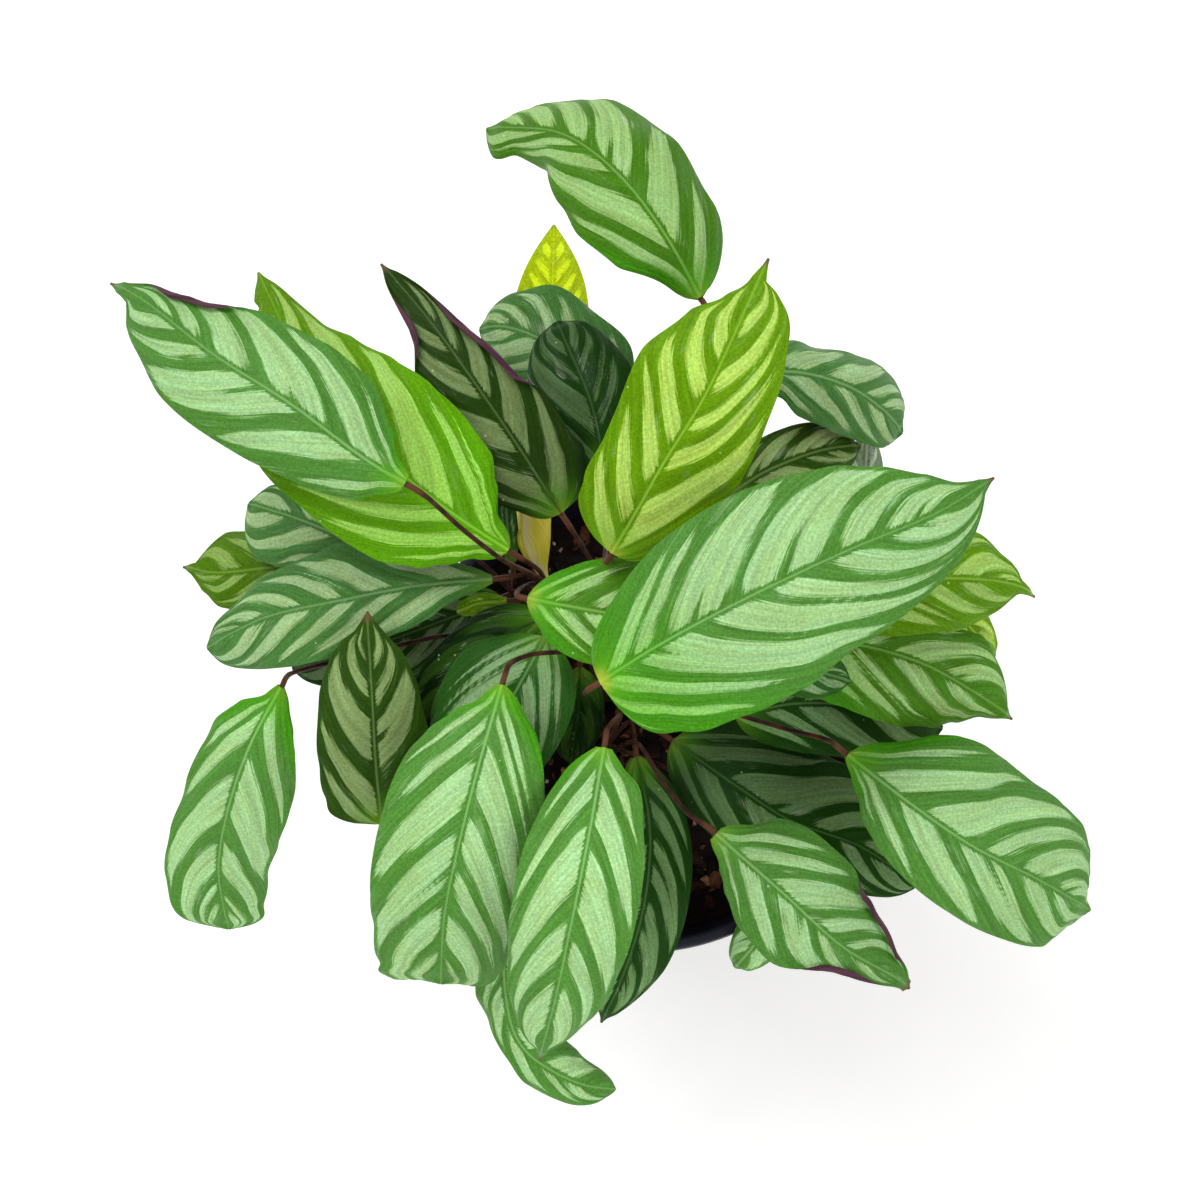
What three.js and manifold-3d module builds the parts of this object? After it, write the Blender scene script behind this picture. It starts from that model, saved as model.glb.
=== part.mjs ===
// A potted calathea: a clump of fishbone-barred leaves on thin stalks, rising from a few short shoots
// in a round plastic nursery pot. Millimetres, +Z up. The origin is the centre of the pot's underside.
//
// Leaves are placed as a botanist would note them from one picture taken from above: each midrib is
// a few picture points, each with a height above the pot's foot, and the widths are real millimetres.
import * as THREE from "three";
import { mergeVertices } from "three/addons/utils/BufferGeometryUtils.js";
import Module from "manifold-3d";

const wasm = await Module();
wasm.setup();

// ---- Driving dimensions ------------------------------------------------------------------------
const POT = {
  height: 130,
  rimRadius: 75, // a 150 mm nursery pot, over its lip
  baseRadius: 53,
  wall: 1.6,
  lipWidth: 2.5, // how far the lip stands out from the wall
  lipDepth: 13, // the lip's skirt
  lipEdge: 1, // the worn edge round the top of the lip
  floor: 2.2,
  holeCount: 6,
  holeRadius: 5,
  holeRing: 36, // the holes' distance from the middle
  holeSides: 12,
  sides: 40,
};
const SOIL_TOP = 114; // watering space of 16 mm under the rim
const GAP = 0.3; // between pieces that touch on the real plant

const BLADE = {
  thickness: 1,
  baseHalf: 1.3, // half the width left where the stalk meets it
  tipHalf: 0.5, // half the width left at the very tip
  tailHalf: 2, // half the drip tip's width where the lobe ends
  baseRound: 2.3, // how round the shoulders are, as powers of the share of length
  tipRound: 2.4,
  stations: 10, // rows of points along it
};
const STALK = {
  radius: 1.2,
  joint: 3.5, // the straight, thicker length right behind the blade
  lastStretch: 12, // the length that already runs in line with the blade
  sides: 6,
  steps: 8,
  stepsPerBend: 3,
};
const SHOOT = {
  radius: 5,
  neckRadius: 3.6,
  height: 22,
  sides: 10,
  footRing: 1.6, // the circle on which the stalks start inside the shoot
  footRise: 2, // how far above the soil they start
  straight: 28, // how far up they run before they lean out
};

// ---- The picture's viewpoint -------------------------------------------------------------------
const PICTURE = {
  middle: 600, // half its side, in picture points
  focal: 2222, // focal length, in picture points
  tilt: THREE.MathUtils.degToRad(10), // off straight down
  distance: 700, // from the eye to the rim's plane
  rimCentre: [640, 712], // where the rim's centre would show
};

const ahead = new THREE.Vector3(0, Math.sin(PICTURE.tilt), -Math.cos(PICTURE.tilt));
const upward = new THREE.Vector3(0, Math.cos(PICTURE.tilt), Math.sin(PICTURE.tilt));
const sightToRim = sightTo(...PICTURE.rimCentre);
const eye = new THREE.Vector3(0, 0, POT.height).addScaledVector(sightToRim, -PICTURE.distance);

// The line of sight through a picture point, scaled to go one unit along the view.
function sightTo(px, py) {
  return new THREE.Vector3((px - PICTURE.middle) / PICTURE.focal, 0, 0)
    .addScaledVector(upward, (PICTURE.middle - py) / PICTURE.focal)
    .add(ahead);
}

// The place at a given height that shows at a picture point.
function fromPicture([px, py, height]) {
  const sight = sightTo(px, py);
  return eye.clone().addScaledVector(sight, (height - eye.z) / sight.z);
}

// ---- Shoots: where the stalks come out of the soil ----------------------------------------------
const SHOOTS = {
  back_left: [-30, 24],
  back: [-8, 34],
  right: [14, 16],
  front_right: [8, 2],
  front: [-10, -14],
  left: [-34, 2],
  middle: [-10, 10],
};

// ---- Leaves ------------------------------------------------------------------------------------
// midrib: from the stalk to the tip, as [picture x, picture y, height].
// half: widths either side of the midrib, [left, right] looking from stalk to tip.
// drop: how far each margin hangs below the midrib. widest: where along the blade it is broadest.
// ends: how bluntly it closes at the stalk and at the tip, 0.3 square to 1 pointed. lobe: where the
// drip tip starts. trimLeft, trimRight: where a side is fuller or leaner than that, as
// [share of length, factor]. via: points that the stalk passes, as [picture x, picture y, height].
const LEAVES = [
  // ---- the back of the clump
  {
    shoot: "right",
    midrib: [[700, 297, 238], [668, 238, 248], [621, 176, 250], [563, 133, 238], [484, 126, 212]],
    half: [21, 19], drop: [7, 12], ends: [0.45, 0.55], via: [[668, 470, 190]],
    trimLeft: [
      [0.05, 0.5], [0.2, 0.82], [0.35, 0.88], [0.5, 0.75], [0.72, 0.48], [0.85, 0.45], [0.95, 0.85],
    ],
    trimRight: [[0.05, 1.3], [0.25, 1.08], [0.45, 1.12], [0.65, 1.1], [0.85, 1.05], [1, 0.8]],
  },
  {
    shoot: "back_left",
    midrib: [
      [543, 577, 158], [533, 540, 165], [537, 480, 171], [546, 400, 174], [552, 300, 172], [554, 225, 163],
    ],
    half: [10, 10], drop: [1, 1], widest: 0.78, ends: [1.1, 0.7],
  },
  {
    shoot: "back",
    midrib: [[612, 415, 178], [575, 362, 185], [540, 338, 185], [505, 326, 181], [477, 328, 175]],
    half: [13, 15], drop: [3, 5], ends: [0.5, 0.5],
    trimRight: [[0.2, 1.25], [0.4, 1.12], [0.7, 1.3], [0.85, 1.1], [1, 0.9]],
  },
  {
    shoot: "back",
    midrib: [[604, 480, 190], [598, 430, 195], [588, 395, 197], [575, 365, 196], [562, 329, 190]],
    half: [16, 15], drop: [3, 3], ends: [0.5, 0.5],
  },
  {
    shoot: "back",
    midrib: [
      [612, 553, 222], [642, 501, 236], [664, 462, 243], [704, 397, 254], [747, 306, 262], [769, 257, 262],
    ],
    half: [18, 20], drop: [3, 3], widest: 0.5, ends: [0.4, 0.6], lobe: 0.93, via: [[606, 545, 206]],
    trimLeft: [
      [0.05, 1.4], [0.15, 1.2], [0.3, 1.05], [0.6, 1.18], [0.77, 0.95], [0.85, 0.62], [0.92, 0.35],
    ],
    trimRight: [[0.1, 0.9], [0.4, 1], [0.6, 0.9], [0.76, 0.92], [0.9, 1.12], [0.93, 1.3]],
  },
  // ---- the right of the clump
  {
    shoot: "middle",
    midrib: [
      [600, 682, 236], [660, 644, 248], [750, 596, 258], [850, 549, 262], [940, 511, 256], [996, 476, 248],
    ],
    half: [23, 29], drop: [2, 7], ends: [0.42, 0.8], lobe: 0.96, via: [[585, 693, 226]],
    trimLeft: [[0.09, 1], [0.3, 1.12], [0.5, 1.13], [0.65, 1.06], [0.75, 1], [0.85, 0.86], [0.93, 0.58]],
    trimRight: [
      [0.03, 1.5], [0.09, 1.16], [0.2, 1.02], [0.4, 0.94], [0.55, 0.81], [0.8, 0.8], [0.93, 0.78],
    ],
  },
  {
    shoot: "right",
    midrib: [[735, 378, 216], [790, 371, 220], [845, 384, 215], [885, 410, 203], [906, 434, 190]],
    half: [13, 14], drop: [9, 4], widest: 0.6, ends: [0.6, 0.42], via: [[698, 470, 186]],
    trimLeft: [[0.25, 1.05], [0.4, 0.88], [0.6, 0.95], [0.8, 1.15]],
    trimRight: [[0.18, 0.7], [0.3, 0.97], [0.5, 0.95], [0.75, 0.83]],
  },
  {
    shoot: "right", midrib: [[724, 498, 197], [764, 472, 203], [820, 450, 202], [862, 444, 196]],
    half: [10, 11], drop: [3, 3],
  },
  {
    shoot: "right", midrib: [[835, 545, 176], [862, 490, 186], [868, 430, 184]], half: [6, 6],
    drop: [2, 2],
  },
  {
    shoot: "right",
    midrib: [[820, 596, 204], [880, 584, 214], [950, 578, 214], [1010, 583, 206], [1038, 597, 196]],
    half: [14, 14], drop: [3, 4], widest: 0.5, ends: [0.5, 0.6], lobe: 0.87,
    trimLeft: [[0.2, 1.15], [0.5, 1.1], [0.7, 1.15], [0.8, 0.9]],
    trimRight: [[0.2, 1.15], [0.5, 1.05], [0.8, 0.85]],
  },
  {
    shoot: "right", midrib: [[900, 588, 170], [960, 618, 176], [997, 658, 168]], half: [8, 8],
    drop: [2, 2],
  },
  {
    shoot: "front_right",
    midrib: [[790, 640, 194], [850, 643, 198], [920, 662, 196], [980, 695, 186], [1015, 720, 174]],
    half: [14, 19], drop: [3, 4], ends: [0.5, 0.55], lobe: 0.93,
    trimLeft: [[0.55, 1], [0.7, 1.22], [0.9, 1.3]],
    trimRight: [[0.1, 1.2], [0.25, 1.04], [0.5, 1], [0.65, 0.86], [0.75, 0.65], [0.85, 0.4]],
  },
  {
    shoot: "front_right", midrib: [[735, 715, 171], [800, 703, 178], [870, 708, 178], [945, 728, 166]],
    half: [14, 15], drop: [3, 4], ends: [0.5, 0.6], via: [[690, 690, 162]],
  },
  {
    shoot: "front_right",
    midrib: [[848, 755, 196], [909, 802, 202], [968, 843, 198], [1040, 880, 182], [1094, 911, 162]],
    half: [23, 22], drop: [6, 5], widest: 0.58, ends: [0.5, 0.38],
    via: [[680, 692, 164], [740, 715, 187], [790, 730, 193], [830, 741, 197]],
    trimLeft: [
      [0.05, 1], [0.15, 1.3], [0.25, 1.28], [0.45, 1.22], [0.65, 1.12], [0.85, 1.12], [0.95, 1.3], [1, 1],
    ],
    trimRight: [
      [0.02, 0.4], [0.08, 0.56], [0.15, 0.78], [0.25, 0.86], [0.6, 0.9], [0.88, 0.92], [0.95, 0.5],
      [1, 0.3],
    ],
  },
  {
    shoot: "front_right",
    midrib: [[673, 741, 150], [740, 788, 161], [790, 820, 162], [860, 846, 156], [920, 886, 145]],
    half: [23, 17], drop: [4, 4], ends: [0.5, 0.55],
  },
  // ---- the front of the clump
  {
    shoot: "front",
    midrib: [[716, 834, 190], [782, 892, 196], [842, 946, 186], [900, 980, 170], [912, 990, 166]],
    half: [18, 15], drop: [4, 4], widest: 0.38, ends: [0.5, 1.25], lobe: 0.98,
    via: [[637, 743, 164], [662, 781, 176], [690, 815, 187]],
    trimLeft: [[0.05, 0.8], [0.12, 1.15], [0.35, 1.08], [0.5, 1.1], [0.64, 1.2], [0.8, 1.35]],
    trimRight: [
      [0.05, 0.5], [0.1, 0.68], [0.16, 0.85], [0.27, 1.03], [0.45, 1.1], [0.55, 1], [0.65, 0.85],
      [0.95, 0.85],
    ],
  },
  {
    shoot: "front", midrib: [[800, 880, 146], [775, 918, 145], [752, 948, 140], [733, 970, 130]],
    half: [8, 8], drop: [4, 4], ends: [0.5, 0.5], via: [[690, 780, 138], [780, 850, 143]],
  },
  {
    shoot: "front",
    midrib: [[637, 757, 158], [650, 830, 166], [645, 900, 162], [625, 970, 149], [600, 1025, 130]],
    half: [13, 14], drop: [3, 3], ends: [0.6, 1.1],
  },
  {
    shoot: "front",
    midrib: [[604, 748, 204], [588, 840, 216], [572, 920, 212], [555, 1000, 194], [538, 1063, 166]],
    half: [17, 18], drop: [5, 5], widest: 0.48, ends: [0.6, 0.6], lobe: 0.97,
    via: [[620, 715, 196], [607, 730, 203]],
    trimLeft: [
      [0.04, 0.95], [0.08, 1.2], [0.2, 1.05], [0.45, 1.01], [0.65, 0.93], [0.88, 0.8], [0.93, 0.6],
    ],
    trimRight: [[0.04, 1.15], [0.1, 1.05], [0.3, 1], [0.5, 0.95], [0.65, 0.92], [0.8, 0.96], [0.92, 1.05]],
  },
  {
    shoot: "front",
    midrib: [[508, 880, 160], [503, 965, 150], [520, 1044, 137], [575, 1082, 127], [618, 1090, 118]],
    half: [9, 9], drop: [8, 4], widest: 0.55, ends: [0.6, 0.5], trimLeft: [[0.8, 1.2]],
    trimRight: [[0.4, 1.05], [0.5, 0.72], [0.6, 0.65], [0.7, 0.88], [0.9, 1]],
  },
  // ---- the left of the clump
  {
    shoot: "middle",
    midrib: [[502, 685, 204], [480, 760, 208], [462, 830, 206], [445, 910, 194], [440, 987, 170]],
    half: [20, 24], drop: [6, 6], widest: 0.55, ends: [0.6, 0.4],
    via: [[590, 650, 180], [560, 652, 197], [530, 655, 203], [510, 664, 206]],
    trimLeft: [[0.05, 1], [0.1, 1.15], [0.3, 1.13], [0.6, 1.1], [0.84, 1.14], [0.94, 1.45]],
    trimRight: [
      [0.05, 0.55], [0.1, 0.83], [0.17, 0.98], [0.25, 1.03], [0.5, 0.99], [0.7, 0.96], [0.82, 1],
      [0.92, 1.17], [0.98, 1.4],
    ],
  },
  {
    shoot: "left", midrib: [[382, 824, 160], [376, 770, 172], [372, 700, 188], [367, 614, 206]],
    half: [15, 15], drop: [2, 2], ends: [0.3, 0.6], lobe: 0.96,
    trimLeft: [[0.04, 1.5], [0.13, 1.29], [0.3, 1.14], [0.6, 1.07], [0.76, 1], [0.86, 0.9], [0.93, 0.6]],
    trimRight: [[0.1, 1.1], [0.45, 1.05], [0.6, 0.94], [0.8, 0.88], [0.93, 0.65]],
  },
  {
    shoot: "left",
    midrib: [[281, 687, 167], [251, 742, 161], [230, 800, 145], [218, 868, 122], [228, 932, 98]],
    half: [17, 18], drop: [4, 4], widest: 0.55, ends: [0.6, 0.42],
    via: [[460, 637, 170], [400, 645, 175], [325, 664, 174], [295, 672, 172]],
    trimLeft: [
      [0.04, 0.85], [0.1, 1.05], [0.16, 1.15], [0.4, 1.1], [0.55, 1.02], [0.72, 0.94], [0.9, 1.05],
      [0.98, 1.4],
    ],
    trimRight: [
      [0.04, 0.5], [0.1, 0.92], [0.19, 1], [0.3, 0.9], [0.5, 0.88], [0.65, 0.98], [0.8, 1.12], [0.92, 1.28],
      [0.98, 1.45],
    ],
  },
  {
    shoot: "back_left", midrib: [[528, 598, 206], [570, 606, 212], [620, 615, 214], [690, 630, 208]],
    half: [14, 14], drop: [4, 4], via: [[526, 586, 194]], trimLeft: [[0.3, 1.1], [0.63, 1.25]],
    trimRight: [[0.08, 0.8], [0.16, 0.95], [0.45, 1.05]],
  },
  {
    shoot: "back_left",
    midrib: [
      [405, 483, 240], [370, 462, 244], [290, 403, 248], [215, 355, 242], [145, 301, 226], [108, 281, 214],
    ],
    half: [19, 18], drop: [5, 3], ends: [0.5, 0.85], lobe: 0.94,
    via: [[545, 583, 190], [500, 558, 214], [460, 527, 228], [428, 498, 238]],
    trimLeft: [
      [0.04, 0.7], [0.08, 0.93], [0.2, 0.97], [0.35, 1], [0.6, 0.98], [0.74, 0.9], [0.84, 0.95], [0.9, 0.5],
    ],
    trimRight: [
      [0.03, 0.6], [0.08, 0.97], [0.2, 1.16], [0.3, 1.12], [0.4, 1.04], [0.5, 1], [0.6, 0.95], [0.7, 0.82],
      [0.81, 0.75], [0.9, 0.6],
    ],
  },
  {
    shoot: "back_left",
    midrib: [
      [508, 550, 203], [460, 518, 213], [416, 485, 221], [365, 440, 228], [315, 385, 226], [257, 270, 208],
    ],
    half: [22, 22], drop: [6, 4], ends: [0.42, 1],
    trimLeft: [
      [0.05, 0.52], [0.1, 0.72], [0.16, 0.9], [0.25, 1.02], [0.4, 1.1], [0.55, 1.2], [0.75, 1], [0.95, 0.8],
    ],
    trimRight: [
      [0.05, 0.55], [0.1, 0.95], [0.16, 1.15], [0.3, 1.18], [0.4, 1.12], [0.55, 1.03], [0.7, 0.88],
      [0.8, 0.7], [0.9, 0.62],
    ],
  },
  {
    shoot: "back",
    midrib: [[561, 513, 194], [521, 450, 206], [478, 387, 212], [432, 323, 212], [380, 262, 205]],
    half: [15, 17], drop: [2, 2], widest: 0.28, ends: [0.42, 1.1],
    trimLeft: [[0.05, 0.85], [0.15, 1.05], [0.3, 1.2], [0.6, 1.05], [0.95, 1]],
    trimRight: [
      [0.05, 0.92], [0.2, 0.86], [0.32, 0.86], [0.5, 0.83], [0.65, 0.75], [0.8, 0.72], [0.9, 0.7],
    ],
  },
  {
    shoot: "back_left", midrib: [[430, 550, 182], [350, 538, 184], [300, 519, 178], [246, 502, 166]],
    half: [15, 13], drop: [4, 3], ends: [0.5, 0.45], trimLeft: [[0.6, 0.95], [0.72, 1.12], [0.9, 1.35]],
  },
  {
    shoot: "back_left",
    midrib: [[492, 579, 190], [420, 585, 196], [340, 600, 192], [265, 617, 182], [204, 648, 166]],
    half: [17, 16], drop: [4, 5], widest: 0.55, ends: [0.65, 0.5],
    trimLeft: [[0.07, 0.48], [0.14, 0.57], [0.2, 0.72], [0.3, 0.78], [0.45, 0.9], [0.6, 0.95]],
    trimRight: [
      [0.06, 0.55], [0.27, 0.64], [0.36, 0.94], [0.44, 1.12], [0.57, 1], [0.76, 0.85], [0.9, 0.67],
    ],
  },
  {
    shoot: "back_left", midrib: [[330, 562, 160], [270, 567, 162], [215, 572, 154], [181, 566, 148]],
    half: [12, 12], drop: [3, 3], widest: 0.62, ends: [0.55, 0.5], lobe: 0.9,
    trimLeft: [[0.6, 0.95], [0.7, 0.89], [0.8, 0.63], [0.88, 0.5]], trimRight: [[0.6, 1.1], [0.8, 1.2]],
  },
  {
    shoot: "left",
    midrib: [[542, 618, 184], [500, 638, 184], [462, 672, 180], [436, 716, 172], [425, 760, 162]],
    half: [10, 11], drop: [2, 3], ends: [0.45, 0.6],
  },
  {
    shoot: "left", midrib: [[545, 637, 187], [530, 665, 190], [500, 720, 187], [460, 800, 172]],
    half: [18, 21], drop: [4, 6], ends: [0.45, 0.6],
  },
  {
    shoot: "back_left", midrib: [[500, 598, 160], [430, 625, 163], [360, 650, 160], [290, 668, 150]],
    half: [12, 12], drop: [3, 3],
  },
  {
    shoot: "back_left", midrib: [[506, 601, 178], [480, 603, 180], [455, 612, 176]], half: [3, 3],
    drop: [1, 1],
  },
  {
    shoot: "front", midrib: [[580, 668, 150], [578, 710, 153], [570, 765, 146]], half: [8, 8],
    drop: [2, 2],
  },
  {
    shoot: "back_left", midrib: [[512, 562, 166], [507, 520, 178], [505, 470, 182]], half: [3, 3],
    drop: [1, 1],
  },
  {
    shoot: "right", midrib: [[730, 640, 206], [790, 662, 210], [852, 681, 204]], half: [9, 9],
    drop: [2, 2],
  },
];

// ---- Colours -----------------------------------------------------------------------------------
const surface = (color, roughness) =>
  new THREE.MeshStandardMaterial({ color, roughness, metalness: 0, side: THREE.DoubleSide });
const leafGreen = surface(0x6a9a52, 0.5);
const youngGreen = surface(0xb2c12a, 0.5);
const stalkBrown = surface(0x5a3326, 0.6);
const pottingMix = surface(0x2a1c14, 0.95);
const potPlastic = surface(0x24263a, 0.45);

// ---- Solids ------------------------------------------------------------------------------------
const MERGE = 1e-4; // points nearer than this are one point

function solidOf(geometry) {
  const bare = geometry.clone();
  bare.deleteAttribute("normal");
  bare.deleteAttribute("uv");
  const merged = mergeVertices(bare, MERGE);
  return new wasm.Manifold(
    new wasm.Mesh({
      numProp: 3,
      vertProperties: merged.attributes.position.array,
      triVerts: new Uint32Array(merged.index.array),
    }),
  );
}

function geometryOf(solid) {
  const mesh = solid.getMesh();
  const geometry = new THREE.BufferGeometry();
  geometry.setAttribute("position", new THREE.BufferAttribute(mesh.vertProperties, 3));
  geometry.setIndex(new THREE.BufferAttribute(mesh.triVerts, 1));
  geometry.computeVertexNormals();
  return geometry;
}

// Crossing stalks can enclose a speck of air, which would count as a body of its own.
function biggestBody(solid) {
  return solid.decompose().sort((one, other) => other.volume() - one.volume())[0];
}

// A solid of revolution about Z, from a closed profile of [radius, height].
function turned(profile, sides) {
  const points = profile.map(([radius, height]) => new THREE.Vector2(radius, height));
  return new THREE.LatheGeometry(points, sides).rotateX(Math.PI / 2);
}

// ---- Pot and soil ------------------------------------------------------------------------------
const underLip = POT.rimRadius - POT.lipWidth;
const slope = (underLip - POT.baseRadius) / POT.height;
const outerAt = (height) => POT.baseRadius + slope * height;
const innerAt = (height) => outerAt(height) - POT.wall;

function potGeometry() {
  const { height, rimRadius, lipDepth, lipEdge, floor, holeRadius, holeSides } = POT;
  const skirtFoot = height - lipDepth;
  const body = turned(
    [
      [0, 0],
      [outerAt(0), 0],
      [outerAt(skirtFoot), skirtFoot],
      [rimRadius - lipEdge, skirtFoot],
      [rimRadius, height - lipEdge],
      [rimRadius - lipEdge, height],
      [innerAt(height), height],
      [innerAt(floor), floor],
      [0, floor],
    ],
    POT.sides,
  );
  let solid = solidOf(body);
  for (let k = 0; k < POT.holeCount; k++) {
    const angle = (2 * Math.PI * k) / POT.holeCount;
    const drill = new THREE.CylinderGeometry(holeRadius, holeRadius, 4 * floor, holeSides)
      .rotateX(Math.PI / 2)
      .translate(POT.holeRing * Math.cos(angle), POT.holeRing * Math.sin(angle), 0);
    solid = solid.subtract(solidOf(drill));
  }
  return geometryOf(solid);
}

function soilGeometry() {
  const foot = POT.floor + GAP;
  return turned(
    [
      [0, foot],
      [innerAt(foot) - GAP, foot],
      [innerAt(SOIL_TOP) - GAP, SOIL_TOP],
      [0, SOIL_TOP],
    ],
    POT.sides,
  );
}

// ---- Blades ------------------------------------------------------------------------------------
// A calathea blade's half width along its length, as a share of the greatest: round at the stalk,
// nearly parallel in the middle and drawn in quickly. What lies past the lobe is a narrow drip tip.
function lobeProfile(along, { widest = 0.45, ends = [0.55, 0.65], lobe = 1 }) {
  if (along < widest) return Math.pow(1 - Math.pow(1 - along / widest, BLADE.baseRound), ends[0]);
  const beyond = Math.min((along - widest) / (lobe - widest), 1);
  return Math.pow(1 - Math.pow(beyond, BLADE.tipRound), ends[1]);
}

// A side's own factor at a share of the length, smooth from one noted place to the next.
function trimAt(along, noted = [[0, 1]]) {
  const after = noted.findIndex(([share]) => share > along);
  if (after === 0) return noted[0][1];
  if (after < 0) return noted.at(-1)[1];
  const [[from, low], [to, high]] = noted.slice(after - 1, after + 1);
  return low + (high - low) * THREE.MathUtils.smoothstep(along, from, to);
}

// Half the width on one side: the lobe's and, past it, the drip tip's.
function halfWidth(along, leaf, hand) {
  const { baseHalf, tipHalf, tailHalf } = BLADE;
  const { lobe = 1 } = leaf;
  const trim = trimAt(along, hand ? leaf.trimRight : leaf.trimLeft);
  const body = leaf.half[hand] * lobeProfile(along, leaf) * trim;
  const tail = lobe < 1 ? tailHalf * Math.min(1, (1 - along) / (1 - lobe)) : 0;
  return Math.hypot(body, tail, baseHalf + (tipHalf - baseHalf) * along);
}

function spineOf(leaf) {
  return new THREE.CatmullRomCurve3(leaf.midrib.map(fromPicture), false, "centripetal");
}

function bladeGeometry(leaf) {
  const { thickness, stations } = BLADE;
  const spine = spineOf(leaf);
  const across = [-1, -0.5, 0, 0.5, 1];
  const positions = [];
  for (let i = 0; i <= stations; i++) {
    const along = 0.5 - 0.5 * Math.cos((Math.PI * i) / stations);
    const centre = spine.getPointAt(along);
    const { side, face } = frameAt(spine, along);
    const share = lobeProfile(along, leaf);
    for (const level of [thickness / 2, -thickness / 2])
      for (const place of across) {
        const hand = place > 0 ? 0 : 1;
        const reach = halfWidth(along, leaf, hand) * place;
        const hang = leaf.drop[hand] * share * place * place;
        const point = centre.clone().addScaledVector(side, reach).addScaledVector(face, level - hang);
        positions.push(point.x, point.y, point.z);
      }
  }
  const geometry = new THREE.BufferGeometry();
  geometry.setAttribute("position", new THREE.Float32BufferAttribute(positions, 3));
  geometry.setIndex(shellFaces(stations, across.length));
  geometry.computeVertexNormals();
  return geometry;
}

// The blade's own directions at a share of its length: side points to its left, face is its top.
function frameAt(spine, along) {
  const tangent = spine.getTangentAt(along);
  const face = new THREE.Vector3(0, 0, 1).addScaledVector(tangent, -tangent.z).normalize();
  const side = new THREE.Vector3().crossVectors(face, tangent);
  return { tangent, side, face };
}

// Faces of a closed plate whose rows each hold the top points and then the bottom points.
function shellFaces(rows, columns) {
  const faces = [];
  const at = (row, level, column) => (2 * row + level) * columns + column;
  const quad = (a, b, c, d) => faces.push(a, c, b, a, d, c);
  for (let row = 0; row < rows; row++) {
    for (let column = 0; column < columns - 1; column++) {
      quad(at(row, 0, column), at(row, 0, column + 1), at(row + 1, 0, column + 1), at(row + 1, 0, column));
      quad(at(row, 1, column), at(row + 1, 1, column), at(row + 1, 1, column + 1), at(row, 1, column + 1));
    }
    const last = columns - 1;
    quad(at(row, 0, 0), at(row + 1, 0, 0), at(row + 1, 1, 0), at(row, 1, 0));
    quad(at(row, 0, last), at(row, 1, last), at(row + 1, 1, last), at(row + 1, 0, last));
  }
  for (let column = 0; column < columns - 1; column++) {
    quad(at(0, 0, column), at(0, 1, column), at(0, 1, column + 1), at(0, 0, column + 1));
    quad(at(rows, 0, column), at(rows, 0, column + 1), at(rows, 1, column + 1), at(rows, 1, column));
  }
  return faces;
}

// ---- Stalks and shoots -------------------------------------------------------------------------
function ringShape(radius, sides) {
  const points = Array.from({ length: sides }, (_, k) => {
    const angle = (2 * Math.PI * k) / sides;
    return new THREE.Vector2(radius * Math.cos(angle), radius * Math.sin(angle));
  });
  return new THREE.Shape(points);
}

function stalkGeometry(leaf, foot) {
  const spine = spineOf(leaf);
  const start = spine.getPointAt(0);
  const heading = spine.getTangentAt(0);
  const leave = new THREE.Vector3(0, 0, SHOOT.straight).add(foot);
  const via = (leaf.via ?? []).map(fromPicture);
  if (!via.length) via.push(start.clone().addScaledVector(heading, -STALK.lastStretch));
  const joint = start.clone().addScaledVector(heading, -STALK.joint);
  const end = start.clone().addScaledVector(heading, -GAP);
  const path = new THREE.CatmullRomCurve3([foot, leave, ...via, joint, end], false, "centripetal");
  return new THREE.ExtrudeGeometry(ringShape(STALK.radius, STALK.sides), {
    steps: STALK.steps + STALK.stepsPerBend * (leaf.via ?? []).length,
    bevelEnabled: false,
    extrudePath: path,
  });
}

function shootGeometry(name) {
  const [x, y] = SHOOTS[name];
  const bottom = SOIL_TOP + GAP;
  const profile = [
    [0, 0],
    [SHOOT.radius, 0],
    [SHOOT.neckRadius, SHOOT.height],
    [0, SHOOT.height],
  ];
  let solid = solidOf(turned(profile, SHOOT.sides).translate(x, y, bottom));
  const leaves = LEAVES.filter((leaf) => leaf.shoot === name);
  leaves.forEach((leaf, k) => {
    const angle = (2 * Math.PI * k) / leaves.length;
    const foot = new THREE.Vector3(x, y, bottom + SHOOT.footRise);
    foot.x += SHOOT.footRing * Math.cos(angle);
    foot.y += SHOOT.footRing * Math.sin(angle);
    solid = solid.add(solidOf(stalkGeometry(leaf, foot)));
  });
  return geometryOf(biggestBody(solid));
}

// ---- Assembly ----------------------------------------------------------------------------------
const plant = new THREE.Group();

function addPiece(parent, name, geometry, material) {
  const mesh = new THREE.Mesh(geometry, material);
  mesh.name = name;
  parent.add(mesh);
}

addPiece(plant, "pot", potGeometry(), potPlastic);
addPiece(plant, "soil", soilGeometry(), pottingMix);

const shoots = new THREE.Group();
for (const name of Object.keys(SHOOTS)) addPiece(shoots, `shoot_${name}`, shootGeometry(name), stalkBrown);
plant.add(shoots);

const leaves = new THREE.Group();
LEAVES.forEach((leaf, k) => {
  const name = `leaf_${String(k + 1).padStart(2, "0")}`;
  addPiece(leaves, name, bladeGeometry(leaf), k === 1 ? youngGreen : leafGreen);
});
plant.add(leaves);

export default plant;
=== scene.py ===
# A potted calathea: silver-green leaves barred like a fishbone, on thin purple-brown stalks, in a dark
# plastic nursery pot of bark mix. The leaves stand where the photograph shows them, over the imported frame.
import math
import random

import bmesh
import bpy
import numpy as np
from mathutils import Matrix, Vector, noise


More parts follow.
